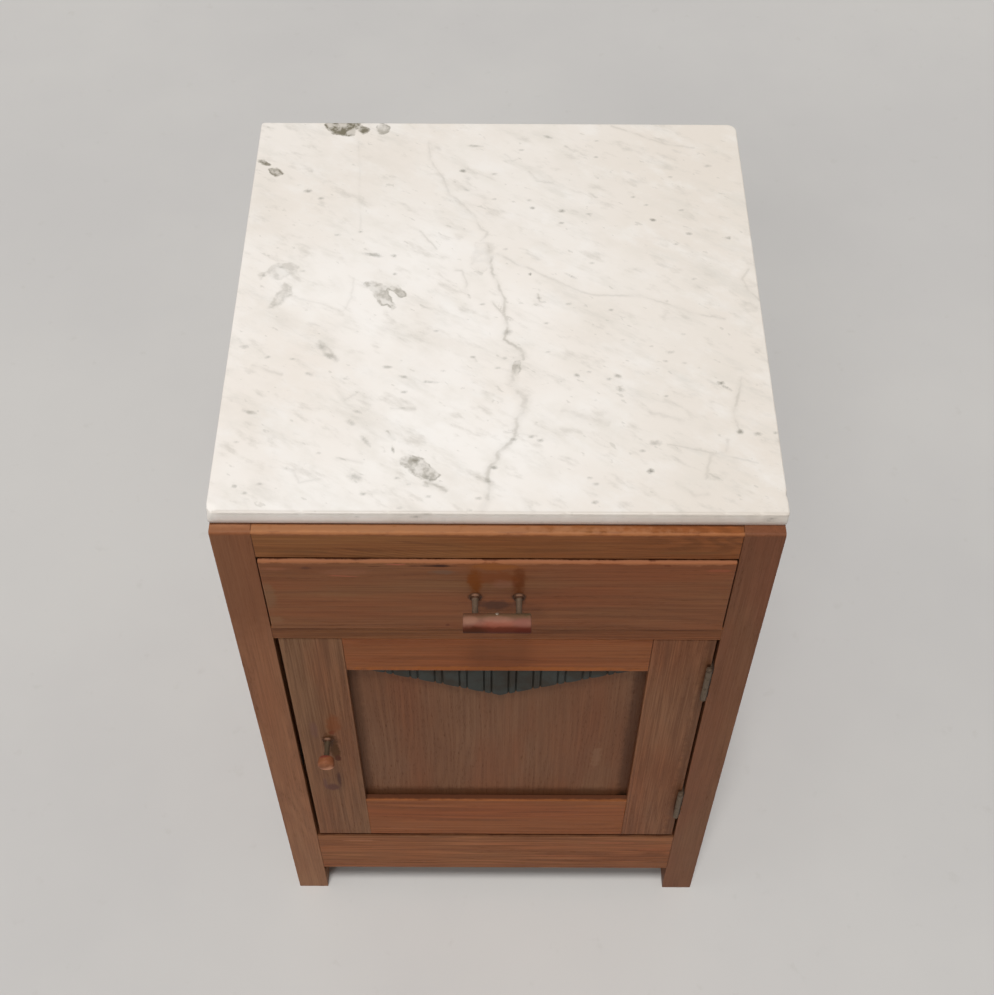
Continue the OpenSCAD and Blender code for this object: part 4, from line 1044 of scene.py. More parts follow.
# %% Material: veined marble
def veined_marble():
    made, tree, place = new_material("veined_marble")
    plus, minus, times, _ = sums(tree)
    slant = math.radians(33)
    held = {n: put(tree, "ShaderNodeAttribute", attribute_name=n).outputs["Fac"] for n in kept}
    along_x, along_y, up = put(tree, "ShaderNodeSeparateXYZ", {0: place}).outputs

    def cloud(scale, detail, turn=0.0, stretch=1.0, rough=0.55, shift=0.0):
        spun = put(tree, "ShaderNodeMapping", {0: place, 1: (shift, shift, 0), 2: (0, 0, turn)}).outputs[0]
        drawn = put(tree, "ShaderNodeMapping", {0: spun, 3: (1.0, stretch, 1.0)}).outputs[0]
        return clouds(tree, drawn, scale, detail, rough)

    def between(value, low, high):
        return step_between(tree, value, low, high)

    def unsettled(value, field, by):
        """The value, moved up and down by a noise of a given strength."""
        return plus(value, times(minus(field, 0.5), by))

    colour = mix(tree, between(cloud(4.5, 4.0), 0.35, 0.68), linear(250, 245, 239), linear(240, 231, 221))
    for mask, share, paint in (
            (between(cloud(9.0, 5.0, slant, 2.0, 0.65, 2.0), 0.5, 0.72), 0.4, (226, 218, 207)),
            (between(along_y, -0.02, 0.2), 0.4, (228, 219, 208)),
            (between(along_x, -0.02, 0.2), 0.75, (230, 220, 208)),
            (between(cloud(26.0, 6.0, slant, 1.6, 0.65, 13.0), 0.46, 0.76), 0.4, (226, 219, 208)),
            (between(cloud(20.0, 5.0, slant, 1.5, 0.65, 17.0), 0.46, 0.74), 0.45, (248, 244, 239)),
            (between(cloud(13.0, 6.0, slant, 3.2, 0.7, 21.0), 0.5, 0.74), 0.5, (214, 208, 198)),
            (between(cloud(42.0, 4.0, slant, 2.2, 0.6, 5.0), 0.54, 0.78), 0.5, (198, 191, 180)),
            (between(cloud(95.0, 2.0, slant, 2.0, 0.5, 7.0), 0.68, 0.76), 0.32, (180, 174, 162))):
        colour = layer(tree, colour, mask, share, paint)

    line = calc(tree, "ABSOLUTE", unsettled(held["vein"], cloud(170.0, 3.0), 2.4))
    core, halo = times(between(line, 1.4, 0.0), 0.85), times(between(line, 2.8, 0.3), 0.3)
    patchy = plus(0.45, between(cloud(60.0, 2.0, 0.0, 1.0, 0.5, 3.0), 0.35, 0.6))
    drawn = times(held["vein_ink"], calc(tree, "MAXIMUM", times(core, patchy), halo))
    colour = mix(tree, drawn, colour, linear(160, 153, 140))

    inside = unsettled(held["spot"], cloud(140.0, 4.0, 0.0, 1.0, 0.7, 9.0), 2.6)
    stain = times(held["spot_ink"], plus(times(between(inside, -0.35, 0.35), 0.45),
                                         times(between(inside, 0.15, 0.9), 0.75)))
    colour = mix(tree, stain, colour, linear(128, 124, 112))

    edge = unsettled(held["patch"], cloud(90.0, 3.0, 0.0, 1.0, 0.6, 11.0), 8.0)
    mottled = plus(0.35, between(cloud(110.0, 4.0), 0.38, 0.62))
    filled = times(held["patch_fill"], times(mottled, between(edge, -1.2, 1.4)))
    rim = times(times(held["patch_rim"], between(cloud(70.0, 3.0), 0.38, 0.58)),
                between(calc(tree, "ABSOLUTE", edge), 1.8, 0.0))
    colour = mix(tree, calc(tree, "MAXIMUM", filled, rim), colour, linear(118, 111, 92))

    # Painted shade on the rounded upper front edge: a little darker and yellower.
    near_front = between(along_y, slab_low.y + 0.0036, slab_low.y + 0.0012)
    near_top = between(up, slab_high.z - 0.0042, slab_high.z - 0.0008)
    colour = layer(tree, colour, times(near_front, near_top), 0.5, (196, 184, 170))
    polish = plus(0.36, times(cloud(30.0, 3.0), 0.16))
    dress(tree, {"Base Color": colour, "Roughness": plus(polish, times(stain, 0.2)),
                 "Normal": relief(tree, cloud(220.0, 3.0), 0.12, 0.0004), "IOR": 1.48})
    return made


slab = finished(slab_mesh, "marble_slab", veined_marble(), 50.0)
stands_for(slab, "marble_top")

# %% [markdown]
# ## The black fluted triangle
#
# The ornament glued under the door's top rail is a flat black triangle cut with upright grooves:
# wide flutes between narrow ribs. Its shape follows a rule, so Geometry Nodes make it: a box cut into
# many columns is pushed into place by arithmetic on its own coordinates, and every size is a named
# input of the tree. The crown of a flute, the groove beside it and the sloping lower end are three
# short sums.


# %% The end of every tree
def dressed_mesh(tree, geometry, finish):
    """A tree's last two nodes: instances become real, and the finish is set."""
    real = put(tree, "GeometryNodeRealizeInstances", {0: geometry}).outputs[0]
    return put(tree, "GeometryNodeSetMaterial", {"Geometry": real, "Material": finish}).outputs[0]


print("trees end in real, finished meshes")


# %% Tree: fluted triangle
COLUMN = 0.0005


def make_fluted_triangle():
    tree, given, result = new_group(
        "fluted_triangle", "GeometryNodeTree",
        [("Geometry", GEOMETRY, None), ("Half Width", VALUE, 0.13), ("Drop", VALUE, 0.046),
         ("Thickness", VALUE, 0.005), ("Pitch", VALUE, 0.0215), ("Rib", VALUE, 0.0065),
         ("Groove", VALUE, 0.0016), ("Crown", VALUE, 0.0009), ("Step", VALUE, 0.3), ("Round", VALUE, 0.0012),
         ("Place", VECTOR, (0, 0, 0)), ("Finish", MATERIAL, None)],
        [("Geometry", GEOMETRY)])
    plus, minus, times, over = sums(tree)
    width, half_pitch = times(given["Half Width"], 2.0), times(given["Pitch"], 0.5)
    columns = put(tree, "FunctionNodeFloatToInt", {0: over(width, COLUMN)}).outputs[0]
    block = put(tree, "GeometryNodeMeshCube", {"Size": (1, 1, 1), "Vertices X": columns, "Vertices Y": 2,
                                               "Vertices Z": 20}).outputs["Mesh"]
    at = put(tree, "GeometryNodeInputPosition").outputs[0]
    ux, uy, uz = put(tree, "ShaderNodeSeparateXYZ", {0: at}).outputs
    x = times(ux, width)

    cell = over(x, given["Pitch"])
    from_rib = calc(tree, "ABSOLUTE", times(minus(calc(tree, "FRACT", cell), 0.5), given["Pitch"]))
    half_rib = times(given["Rib"], 0.5)
    off_flute = over(minus(half_pitch, from_rib), minus(half_pitch, half_rib))
    off = calc(tree, "MINIMUM", off_flute, over(from_rib, half_rib))
    fall = times(given["Crown"], times(off, off))
    to_groove = calc(tree, "ABSOLUTE", minus(from_rib, half_rib))
    cut = calc(tree, "MAXIMUM", 0.0, minus(given["Groove"], times(to_groove, 1.6)))

    middle_x = times(given["Pitch"], calc(tree, "ROUND", cell))
    stepped = plus(x, times(given["Step"], minus(middle_x, x)))
    slope = minus(1.0, over(calc(tree, "ABSOLUTE", stepped), given["Half Width"]))
    drop = calc(tree, "MAXIMUM", 0.0003, times(given["Drop"], slope))
    raised = plus(uz, 0.5)
    z = times(times(drop, minus(1.0, times(raised, raised))), -1.0)
    from_end = times(drop, times(raised, raised))
    near_end = calc(tree, "MAXIMUM", 0.0, minus(1.0, over(from_end, given["Round"])))
    ease = calc(tree, "SQRT", minus(1.0, times(times(near_end, near_end), 0.93)))
    y = times(times(ease, minus(given["Thickness"], plus(fall, cut))), minus(uy, 0.5))

    shape = put(tree, "ShaderNodeCombineXYZ", {0: x, 1: y, 2: z}).outputs[0]
    placed = put(tree, "ShaderNodeVectorMath", {0: shape, 1: given["Place"]}, operation="ADD").outputs[0]
    moved = put(tree, "GeometryNodeSetPosition", {"Geometry": block, "Position": placed}).outputs[0]
    tree.links.new(dressed_mesh(tree, moved, given["Finish"]), result["Geometry"])
    return tree


fluted_triangle = make_fluted_triangle()
print(fluted_triangle.name, "has", len(fluted_triangle.nodes), "nodes")


# %% Run a tree and keep its mesh
def grown(name, tree, mesh, values, sharp=35.0):
    """Runs a Geometry Nodes tree on a mesh with the given named inputs, and keeps a plain mesh."""
    piece = bpy.data.objects.new(name, mesh)
    bpy.context.scene.collection.objects.link(piece)
    grow = piece.modifiers.new("grow", "NODES")
    grow.node_group = tree
    sockets = {item.name: item.identifier for item in tree.interface.items_tree if item.in_out == "INPUT"}
    for title, value in values.items():
        grow[sockets[title]] = value
    plain_mesh(piece)
    piece.data.polygons.foreach_set("material_index", [0] * len(piece.data.polygons))
    piece.data.materials.clear()
    piece.data.materials.append(values["Finish"])
    piece.data.polygons.foreach_set("use_smooth", [True] * len(piece.data.polygons))
    piece.data.set_sharp_from_angle(angle=math.radians(sharp))
    print(name, len(piece.data.vertices), "points,", piece.data.materials[0].name)
    return piece


# %% [markdown]
# ## Black stain, turned wood and old metal
#
# Three small finishes. The ornament is stained black and rubbed to slate on its crowns. Pull and knob
# are turned from a hard red-brown wood, with the lacquer worn pink where fingers go and dark at the
# ends. The metal is plain steel or brass gone brown, brighter where it is touched.


# %% Group: handled surface
def make_handled():
    group, given, result = new_group(
        "handled", "ShaderNodeTree",
        [("At", VECTOR, (0, 0, 0)), ("Scale", VALUE, 90.0), ("Cover", VALUE, 0.5)],
        [("Worn", VALUE), ("Grime", VALUE), ("Fine", VALUE)])
    plus, minus, times, _ = sums(group)
    wide = clouds(group, given["At"], given["Scale"], 4.0, 0.65)
    edge = minus(1.0, given["Cover"])
    group.links.new(step_between(group, wide, edge, plus(edge, 0.18)), result["Worn"])
    group.links.new(step_between(group, wide, minus(edge, 0.08), minus(edge, 0.25)), result["Grime"])
    group.links.new(clouds(group, given["At"], times(given["Scale"], 9.0)), result["Fine"])
    return group


handled = make_handled()
print(handled.name, "has", len(handled.nodes), "nodes")

# %% Material: a small finish
FINE_RELIEF = 0.1


def small_finish(name, base, worn, grime, metallic=0.0, rough=0.45, scale=90.0, cover=0.5, marks=(),
                 shine=0.15):
    made, tree, place = new_material(name)
    plus, _, times, _ = sums(tree)
    touch = use_group(tree, handled, {"At": place, "Scale": scale, "Cover": cover})
    colour = mix(tree, touch["Worn"], linear(*base), linear(*worn))
    colour = layer(tree, colour, touch["Grime"], 0.7, grime)
    colour = layer(tree, colour, touch["Fine"], 0.25, [c * 0.7 for c in base])
    colour = painted(tree, colour, place, marks)
    dress(tree, {"Base Color": colour, "Roughness": plus(rough, times(touch["Grime"], 0.2)),
                 "Normal": relief(tree, touch["Fine"], FINE_RELIEF), "Metallic": metallic,
                 "Specular IOR Level": shine})
    return made


print("a small finish takes", small_finish.__code__.co_argcount, "values")

# %% [markdown]
# ## Marks on pull, knob and hinges
#
# The pull's bar has painted shade along its back and along its front, and is rubbed pink on top
# between them, where fingers go. A mark on the bar is placed by how far it is turned from the bar's
# top to its front. Each collar gets a painted highlight on its upper lip round its stem, and the
# hinges get painted shade along the right of their barrels and at their upper ends.

# %% Marks on pull, knob and hinges
pull_low, pull_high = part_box("pull_bar")
pull_axis = (pull_low + pull_high) / 2
bar_radius = (pull_high.z - pull_low.z) / 2
collar_radius = (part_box("knob_collar")[1].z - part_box("knob_collar")[0].z) / 2
grip_low, grip_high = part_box("knob_grip")
grip_mid = (grip_low + grip_high) / 2
stem_low, stem_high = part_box("knob_stem")


def on_bar(x, turn, half_long, half_round, paint, share, ragged=0.3):
    """A mark on the pull's bar: x in mm from its middle, turned in degrees from its top to the front."""
    turn = math.radians(turn)
    out = Vector((x * 0.001, -math.sin(turn) * bar_radius, math.cos(turn) * bar_radius))
    reach = (half_long * 0.001, half_round * 0.001, half_round * 0.001)
    return mark_at(pull_axis + out, reach, paint, share, ragged)


def lip(node, x):
    """A painted highlight on the upper lip of a collar round a stem."""
    low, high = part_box(node)
    place = (x, high.y - 0.0019, (low.z + high.z) / 2 + collar_radius * 0.84)
    return mark_at(place, (0.0052, 0.0020, 0.0015), (136, 100, 78), 0.75, 0.2)


# Painted shade along the bar's back and along its front and underside; rubbed pink lacquer on top.
pull_marks = [on_bar(*row) for row in (
    (0, -48, 60, 10.5, (104, 80, 58), 0.85, 0.15), (-18, -50, 14, 8, (106, 62, 46), 0.5),
    (20, -58, 14, 7, (74, 72, 52), 0.6, 0.4), *[(0, 92, 60, 8.6, (92, 42, 27), 0.9, 0.1)] * 2,
    (-20, 96, 16, 8, (72, 36, 20), 0.95, 0.3), (21, 96, 11, 8, (88, 36, 24), 0.95, 0.3),
    (-21, 14, 9, 4.5, (148, 106, 86), 0.7, 0.4), (0, 34, 22, 4, (146, 82, 64), 0.6, 0.5),
    (20, 30, 10, 5, (134, 82, 70), 0.6, 0.4), (0, 8, 16, 4, (152, 106, 88), 0.5, 0.4))]
grip_marks = [
    mark_at((grip_mid.x - 0.003, grip_high.y, grip_high.z), (0.0075, 0.0055, 0.006),
            (104, 46, 38), 0.85, 0.4),
    mark_at((grip_mid.x + 0.003, grip_low.y, grip_low.z + 0.001), (0.011, 0.0075, 0.0095),
            (204, 142, 108), 0.9, 0.4)]
stem_marks = [mark_at((stem_low + stem_high) / 2, (0.02, 0.04, 0.02), (58, 46, 28), 0.6, 0.3)]
# Painted highlights on the collars' upper lips.
collar_lips = [*[lip("pull_collars", side * 0.0175) for side in (-1, 1)], lip("knob_collar", grip_mid.x)]
barrels = [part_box(f"hinge_frame_leaf_{k}") for k in ("upper", "lower")]
# Painted shade on the hinge metal: along the right of each barrel, in the gap, and at its upper end.
hinge_dirt = [mark_at((high.x, (low.y + high.y) / 2, (low.z + high.z) / 2), (0.0034, 0.05, 0.08),
                      (40, 22, 12), 0.9, 0.1) for low, high in barrels]
hinge_dirt += [mark_at((low.x, low.y, high.z), (0.009, 0.009, 0.0035), (52, 34, 22), 0.5, 0.3)
               for low, high in barrels]
print("bar radius", round(bar_radius, 4), "collar radius", round(collar_radius, 4))

# %% Small finishes
black_wood = small_finish("black_stained_wood", (56, 50, 42), (60, 62, 58), (36, 30, 28), rough=0.6,
                          scale=34.0, cover=0.6)
pull_wood = small_finish("turned_wood_pull", (130, 88, 72), (140, 98, 80), (112, 68, 52), rough=0.6,
                         scale=70.0, marks=pull_marks, shine=0.08)
knob_wood = small_finish("turned_wood_knob", (132, 80, 52), (146, 92, 62), (108, 56, 40), rough=0.55,
                         scale=80.0, marks=grip_marks)
old_steel = small_finish("old_steel", (82, 66, 50), (108, 92, 76), (46, 30, 20), 0.2, 0.6, scale=220.0,
                         cover=0.7, marks=hinge_dirt)
pull_steel = small_finish("pull_steel", (104, 86, 70), (126, 104, 88), (66, 46, 32), 0.25, 0.55,
                          scale=200.0, marks=stem_marks)
collar_steel = small_finish("collar_steel", (84, 56, 40), (100, 72, 54), (52, 32, 20), 0.2, 0.55,
                            scale=200.0, marks=collar_lips)
bright_steel = small_finish("bright_steel", (164, 150, 134), (182, 168, 150), (104, 88, 72), 0.6, 0.45,
                            scale=300.0)
dark_plate = small_finish("dark_plate", (40, 28, 19), (50, 36, 25), (28, 18, 12), 0.2, 0.75, scale=220.0,
                          shine=0.05)
print("small finishes ready")

# %% [markdown]
# ## Grow the ornament
#
# The numbers in the tree are only examples. The real sizes come from the CAD solid's box, so that
# the ornament fills just the place of the solid that it stands for.

# %% Grow the ornament
low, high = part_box("door_ornament")
ornament = grown("fluted_ornament", fluted_triangle, bpy.data.meshes.new("start"), {
    "Half Width": (high.x - low.x) / 2, "Drop": high.z - low.z, "Thickness": high.y - low.y,
    "Place": ((low.x + high.x) / 2, high.y, high.z), "Step": 0.0, "Crown": 0.0005, "Finish": black_wood,
}, 30.0)
stands_for(ornament, "door_ornament")

# %% [markdown]
# ## Slotted screws
#
# Each hinge leaf is held by countersunk screws with a slot. They are all one shape at many places,
# which is just what instances are for: the tree makes one screw, turns it to face out of the leaf,
# spins each by a number of its own, and puts it on every point of a small mesh. The points are read
# from the CAD screws, so they sit in the leaves' bores.


# %% Tree: slotted screws
def make_slotted_screws():
    tree, given, result = new_group(
        "slotted_screws", "GeometryNodeTree",
        [("Geometry", GEOMETRY, None), ("Head Radius", VALUE, 0.003), ("Head Height", VALUE, 0.0012),
         ("Shank Radius", VALUE, 0.0015), ("Length", VALUE, 0.014), ("Slot", VALUE, 0.0007),
         ("Facing", VECTOR, (1, 0, 0)), ("Seed", "NodeSocketInt", 1), ("Finish", MATERIAL, None)],
        [("Geometry", GEOMETRY)])
    _, minus, times, _ = sums(tree)

    def cone(wide, narrow, length, at):
        """A cone from its narrow lower end up, standing at a height."""
        made = put(tree, "GeometryNodeMeshCone", {"Vertices": 24, "Radius Top": wide, "Radius Bottom": narrow,
                                                  "Depth": length}).outputs[0]
        return lifted(made, at)

    def lifted(geometry, up):
        moved = put(tree, "ShaderNodeCombineXYZ", {2: up}).outputs[0]
        return put(tree, "GeometryNodeTransform", {"Geometry": geometry, "Translation": moved}).outputs[0]

    thin = given["Shank Radius"]
    head = cone(given["Head Radius"], thin, given["Head Height"], times(given["Head Height"], -1.0))
    blade_size = put(tree, "ShaderNodeCombineXYZ", {0: times(given["Head Radius"], 3.0), 1: given["Slot"],
                                                    2: given["Head Height"]}).outputs[0]
    blade = put(tree, "GeometryNodeMeshCube", {0: blade_size}).outputs[0]
    slot = lifted(blade, times(given["Head Height"], 0.1))
    cut = put(tree, "GeometryNodeMeshBoolean", {"Mesh 1": head, "Mesh 2": slot},
              operation="DIFFERENCE").outputs[0]
    shank = cone(thin, thin, minus(times(given["Length"], 0.8), given["Head Height"]),
                 times(given["Length"], -0.8))
    tip = cone(thin, times(thin, 0.25), times(given["Length"], 0.2), times(given["Length"], -1.0))
    whole = tree.nodes.new("GeometryNodeJoinGeometry")
    for part in (tip, shank, cut):
        tree.links.new(part, whole.inputs[0])
    face = put(tree, "FunctionNodeAlignRotationToVector", {"Vector": given["Facing"]}, axis="Z").outputs[0]
    spin = put(tree, "FunctionNodeRandomValue", {"Max": 3.14, "Seed": given["Seed"]},
               data_type="FLOAT").outputs[1]
    about = put(tree, "FunctionNodeAxisAngleToRotation", {"Axis": given["Facing"], "Angle": spin}).outputs[0]
    turned_round = put(tree, "FunctionNodeRotateRotation", {0: face, 1: about},
                       rotation_space="GLOBAL").outputs[0]
    set_down = put(tree, "GeometryNodeInstanceOnPoints", {
        "Points": given["Geometry"], "Instance": whole.outputs[0], "Rotation": turned_round}).outputs[0]
    tree.links.new(dressed_mesh(tree, set_down, given["Finish"]), result["Geometry"])
    return tree


slotted_screws = make_slotted_screws()
print(slotted_screws.name, "has", len(slotted_screws.nodes), "nodes")


# %% Put the screws in their bores
def shell_boxes(node):
    mesh, work = merged_copy(node)
    work.to_mesh(mesh)
    work.free()
    co = np.array([v.co for v in mesh.vertices])
    label = shells(mesh)
    return [(co[label == k].min(0), co[label == k].max(0)) for k in np.unique(label)]


for node, facing, seed in (("hinge_frame_screws", -1, 3), ("hinge_door_screws", 1, 7),
                           ("strike_screws", 1, 11)):
    boxes = shell_boxes(node)
    places = [(lo[0] if facing < 0 else hi[0], (lo[1] + hi[1]) / 2, (lo[2] + hi[2]) / 2) for lo, hi in boxes]
    start = bpy.data.meshes.new("screw_places")
    start.from_pydata(places, [], [])
    lo, hi = boxes[0]
    screws = grown(node + "_slotted", slotted_screws, start, {
        "Head Radius": float(hi[2] - lo[2]) / 2, "Length": float(hi[0] - lo[0]),
        "Facing": (float(facing), 0.0, 0.0), "Seed": seed, "Finish": old_steel})
    stands_for(screws, node)

# %% [markdown]
# ## Turned parts: pull, knob, nail, pins
#
# Everything turned on a lathe is a profile swept round an axis. A small function takes the profile
# as pairs of (place along the axis, radius), closes both ends at the axis, and turns it. The profiles
# keep inside the CAD solids and add what these leave out: rounded rims, a flange on each collar, a
# waist in the stems and a domed nail head.


# %% Turn a profile round an axis
TURNED_SHARP, ROUND_STEPS = 40.0, 5


def turned(name, material, origin, axis, profile, sides=40):
    axis = Vector(axis).normalized()
    basis = axis.to_track_quat("Z", "Y").to_matrix()
    work = bmesh.new()
    previous = None
    for along, radius in profile:
        if radius <= 1e-7:
            ring = [work.verts.new(Vector(origin) + axis * along)]
        else:
            around = [2 * math.pi * k / sides for k in range(sides)]
            ring = [Vector((radius * math.cos(a), radius * math.sin(a), along)) for a in around]
            ring = [work.verts.new(Vector(origin) + basis @ corner) for corner in ring]
        if previous:
            for k in range(sides):
                corners = [previous[k % len(previous)], previous[(k + 1) % len(previous)],
                           ring[(k + 1) % len(ring)], ring[k % len(ring)]]
                work.faces.new(dict.fromkeys(corners))
        previous = ring
    bmesh.ops.recalc_face_normals(work, faces=work.faces)
    mesh = bpy.data.meshes.new(name)
    work.to_mesh(mesh)
    work.free()
    return finished(mesh, name, material, TURNED_SHARP)


def joined(name, parts):
    """Several turned parts as one piece."""
    work = bmesh.new()
    for part in parts:
        work.from_mesh(part.data)
    mesh = bpy.data.meshes.new(name)
    work.to_mesh(mesh)
    work.free()
    material = parts[0].data.materials[0]
    for part in parts:
        bpy.data.objects.remove(part)
    return finished(mesh, name, material, TURNED_SHARP)


def round_end(z, radius, r, outward):
    """Points of a quarter circle that rounds an end of a turned part."""
    quarter = [math.pi / 2 * k / ROUND_STEPS for k in range(ROUND_STEPS + 1)]
    turn = [(z - outward * r * (1 - math.sin(a)), radius - r * (1 - math.cos(a))) for a in quarter]
    return turn if outward > 0 else turn[::-1]


print("lathe ready")


# %% The drawer's pull
def collar_profile(bore):
    """A flange against the wood, a cup with a thin lip on it, and a hub round the stem."""
    r = collar_radius
    return [(0.0, bore), (0.0, r), (0.0006, r), (0.0008, r * 0.93), (0.0010, r * 0.88), (0.0016, r * 0.87),
            (0.0019, r * 0.83), (0.0019, r * 0.76), (0.0014, r * 0.68), (0.0014, bore + 0.0005),
            (0.0030, bore + 0.0003), (0.0030, bore), (0.0, bore)]


half = (pull_high.x - pull_low.x) / 2
bar = turned("pull_bar_turned", pull_wood, pull_axis, (1, 0, 0),
             [(-half, 0), *round_end(-half, bar_radius, 0.0012, -1), (-half * 0.5, bar_radius * 0.985),
              (0, bar_radius * 0.992), (half * 0.55, bar_radius * 0.98),
              *round_end(half, bar_radius, 0.0012, 1), (half, 0)], 48)
stands_for(bar, "pull_bar")
stem_boxes = sorted(shell_boxes("pull_stems"), key=lambda b: b[0][0])
stems, collars = [], []
for lo, hi in stem_boxes:
    axis_x, stem_radius = (lo[0] + hi[0]) / 2, (hi[0] - lo[0]) / 2
    base = Vector((axis_x, drawer_face, pull_axis.z))
    out = drawer_face - pull_axis.y
    profile = [(-0.025, 0), (-0.025, stem_radius * 0.9), (0.0, stem_radius * 0.9), (0.003, stem_radius),
               (0.0045, stem_radius * 0.93), (out * 0.45, stem_radius * 0.86),
               (out * 0.62, stem_radius * 0.9), (out * 0.70, stem_radius), (out, stem_radius), (out, 0)]
    stems.append(turned("stem", pull_steel, base, (0, -1, 0), profile, 24))
    collars.append(turned("collar", collar_steel, base, (0, -1, 0),
                          collar_profile(stem_radius + 0.0001), 28))
stands_for(joined("pull_stems_turned", stems), "pull_stems")
stands_for(joined("pull_collars_turned", collars), "pull_collars")
print("pull: bar radius", round(bar_radius, 4), "stems", len(stem_boxes))

# %% The door's knob
grip_radius, grip_front = (grip_high.x - grip_low.x) / 2, door_face - grip_low.y
grip_back = door_face - grip_high.y
knob_base = Vector((grip_mid.x, door_face, grip_mid.z))
grip = turned("knob_grip_turned", knob_wood, knob_base, (0, -1, 0),
              [(grip_back, 0), (grip_back, 0.0046), *round_end(grip_back, grip_radius * 0.92, 0.0014, -1),
               (grip_back + 0.004, grip_radius * 0.96), (grip_back + 0.0062, grip_radius),
               *round_end(grip_front - 0.0008, grip_radius, 0.0024, 1), (grip_front - 0.0003, 0.004),
               (grip_front, 0)], 48)
stands_for(grip, "knob_grip")
stem_radius = (stem_high.x - stem_low.x) / 2
stem_back, stem_front = door_face - stem_high.y, door_face - stem_low.y
stem = turned("knob_stem_turned", pull_steel, knob_base, (0, -1, 0),
              [(stem_back, 0), (stem_back, stem_radius * 0.9), (0, stem_radius * 0.9), (0.003, stem_radius),
               (0.0045, stem_radius * 0.92), (grip_back * 0.6, stem_radius * 0.86), (grip_back, stem_radius),
               (stem_front, stem_radius), (stem_front, 0)], 24)
stands_for(stem, "knob_stem")
collar = turned("knob_collar_turned", collar_steel, knob_base, (0, -1, 0),
                collar_profile(stem_radius + 0.0001), 28)
stands_for(collar, "knob_collar")
print("knob radius", round(grip_radius, 4), "front at", round(grip_front, 4), "m before the door")

# %% Nail and hinge pins
NAIL_LEAN = math.radians(35)
lean = Vector((0.0, math.sin(NAIL_LEAN), math.cos(NAIL_LEAN)))
nail = turned("pull_nail_turned", bright_steel, pull_axis, lean,
              [(0.0002, 0), (0.0008, 0.0006), (bar_radius - 0.0001, 0.0008), (bar_radius + 0.0001, 0.00155),
               (bar_radius + 0.0004, 0.0014), (bar_radius + 0.0007, 0.0009), (bar_radius + 0.00085, 0)], 16)
stands_for(nail, "pull_nail")
pins = []
for lo, hi in shell_boxes("hinge_pins"):
    foot = Vector(((lo[0] + hi[0]) / 2, (lo[1] + hi[1]) / 2, lo[2]))
    tall, cap = hi[2] - lo[2], (hi[0] - lo[0]) / 2
    end = [(0.0002, cap * 0.7), (0.0007, cap), (0.0013, cap), (0.0013, 0.0013)]
    pins.append(turned("pin", old_steel, foot, (0, 0, 1),
                       [(0, 0), *end, *[(tall - z, radius) for z, radius in end[::-1]], (tall, 0)], 20))
print("pins made:", len(pins))
stands_for(joined("hinge_pins_turned", pins), "hinge_pins")

# %% [markdown]
# ## The metal that stays as the CAD has it
#
# Hinge leaves, strike plate, nuts and the catch have the right shape already. Leaves and plate are
# copied only to ease their edges, and the rest keep their CAD solid with a better finish.

# %% Metal pieces
for node in ("hinge_frame_leaf_upper", "hinge_frame_leaf_lower", "hinge_door_leaf_upper",
             "hinge_door_leaf_lower", "strike_plate"):
    finish = dark_plate if node == "strike_plate" else old_steel
    stands_for(eased(node, node + "_eased", finish, ease=0.0002, shortest=0.003, sharp=30.0), node)
for node, finish in (("knob_nut", pull_steel), ("pull_nuts", pull_steel), ("catch_barrel", bright_steel),
                     ("catch_ball", bright_steel)):
    stands_for(eased(node, node + "_piece", finish, ease=0.0), node)
print("metal done")

# %% [markdown]
# ## Floor and light
#
# The cupboard stands on a pale grey studio floor. The light is soft. The main lamp is far off and
# nearly overhead, a touch in front, and leaves the soft shadow under the cupboard. A second far lamp
# shines over the viewer's shoulder on the fronts, a square lamp lights the left side, and an even
# world fills the rest. Together they light a level surface with a strength of about 1, so colours
# render as they are written. The camera and shiny pieces see a pale backdrop in place of the world's
# weak light.


# %% Floor
def pale_floor():
    made, tree, place = new_material("pale_floor")
    wide, fine = clouds(tree, place, 1.6, 5.0, 0.6), clouds(tree, place, 38.0, 4.0, 0.6)
    colour = mix(tree, step_between(tree, wide, 0.3, 0.7), linear(194, 191, 188), linear(200, 197, 193))
    colour = layer(tree, colour, step_between(tree, fine, 0.62, 0.74), 0.25, (182, 178, 172))
    dress(tree, {"Base Color": colour, "Roughness": 0.6, "IOR": 1.35})
    return made


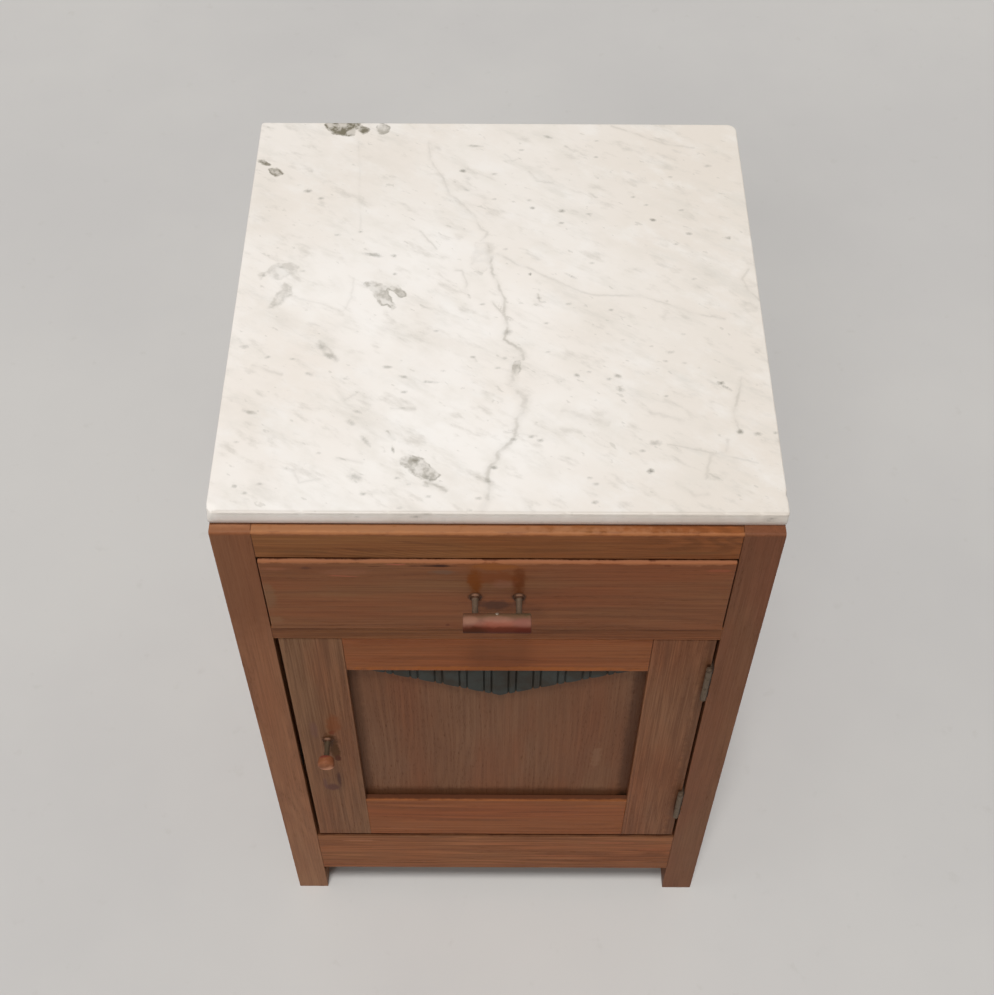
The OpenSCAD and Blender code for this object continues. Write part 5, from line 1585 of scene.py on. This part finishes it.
floor_mesh = bpy.data.meshes.new("studio_floor")
floor_mesh.from_pydata([(-5, -4, 0), (5, -4, 0), (5, 6, 0), (-5, 6, 0)], [], [(0, 1, 2, 3)])
floor_mesh.materials.append(pale_floor())
studio_floor = bpy.data.objects.new("studio_floor", floor_mesh)
bpy.context.scene.collection.objects.link(studio_floor)
studio_floor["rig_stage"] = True
print("floor laid")


# %% Lamps
def lamp(name, kind, way, place=(0.0, 0.0, 0.0), **settings):
    """A lamp of some kind that shines along a way."""
    data = bpy.data.lights.new(name, kind)
    for title, value in settings.items():
        setattr(data, title, value)
    made = bpy.data.objects.new(name, data)
    bpy.context.scene.collection.objects.link(made)
    made.location = place
    made.rotation_euler = Vector(way).to_track_quat("-Z", "Y").to_euler()


LEFT_PLACE, LEFT_AIM, LEFT_SIZE = Vector((-3.6, -0.9, 2.6)), Vector((0.0, 0.0, 0.2)), 2.2
lamp("lamp_left", "AREA", LEFT_AIM - LEFT_PLACE, LEFT_PLACE, size=LEFT_SIZE,
     energy=math.pi * LEFT_SIZE * LEFT_SIZE, color=(1.0, 0.985, 0.965))
lamp("lamp_high", "SUN", (0.03, 0.24, -0.97), energy=2.1, angle=math.radians(11.0))
lamp("lamp_front", "SUN", (0.27, 0.73, -0.63), energy=0.5, angle=math.radians(14.0))

# %% World
world = bpy.data.worlds.new("pale_room")
world.use_nodes = True
bpy.context.scene.world = world
room = world.node_tree
path = put(room, "ShaderNodeLightPath").outputs
shiny = calc(room, "MAXIMUM", path["Is Glossy Ray"], path["Is Transmission Ray"])
seen = calc(room, "MAXIMUM", path["Is Camera Ray"], shiny)
light = put(room, "ShaderNodeBackground", {"Color": (0.97, 0.985, 1.0, 1.0), "Strength": 0.22})
shown = put(room, "ShaderNodeBackground", {"Color": linear(198, 195, 191), "Strength": 1.0})
both = put(room, "ShaderNodeMixShader", {0: seen, 1: light.outputs[0], 2: shown.outputs[0]})
room.links.new(both.outputs[0], room.nodes["World Output"].inputs[0])
bpy.context.scene.view_settings.view_transform = "Standard"
print("world", world.name, "seen as a pale backdrop")

# %% Sizes
final_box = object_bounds()
print("visual box", [round(v, 4) for corner in final_box for v in corner])
triangles = sum(len(p.vertices) - 2 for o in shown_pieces() if o.type == "MESH" for p in o.data.polygons)
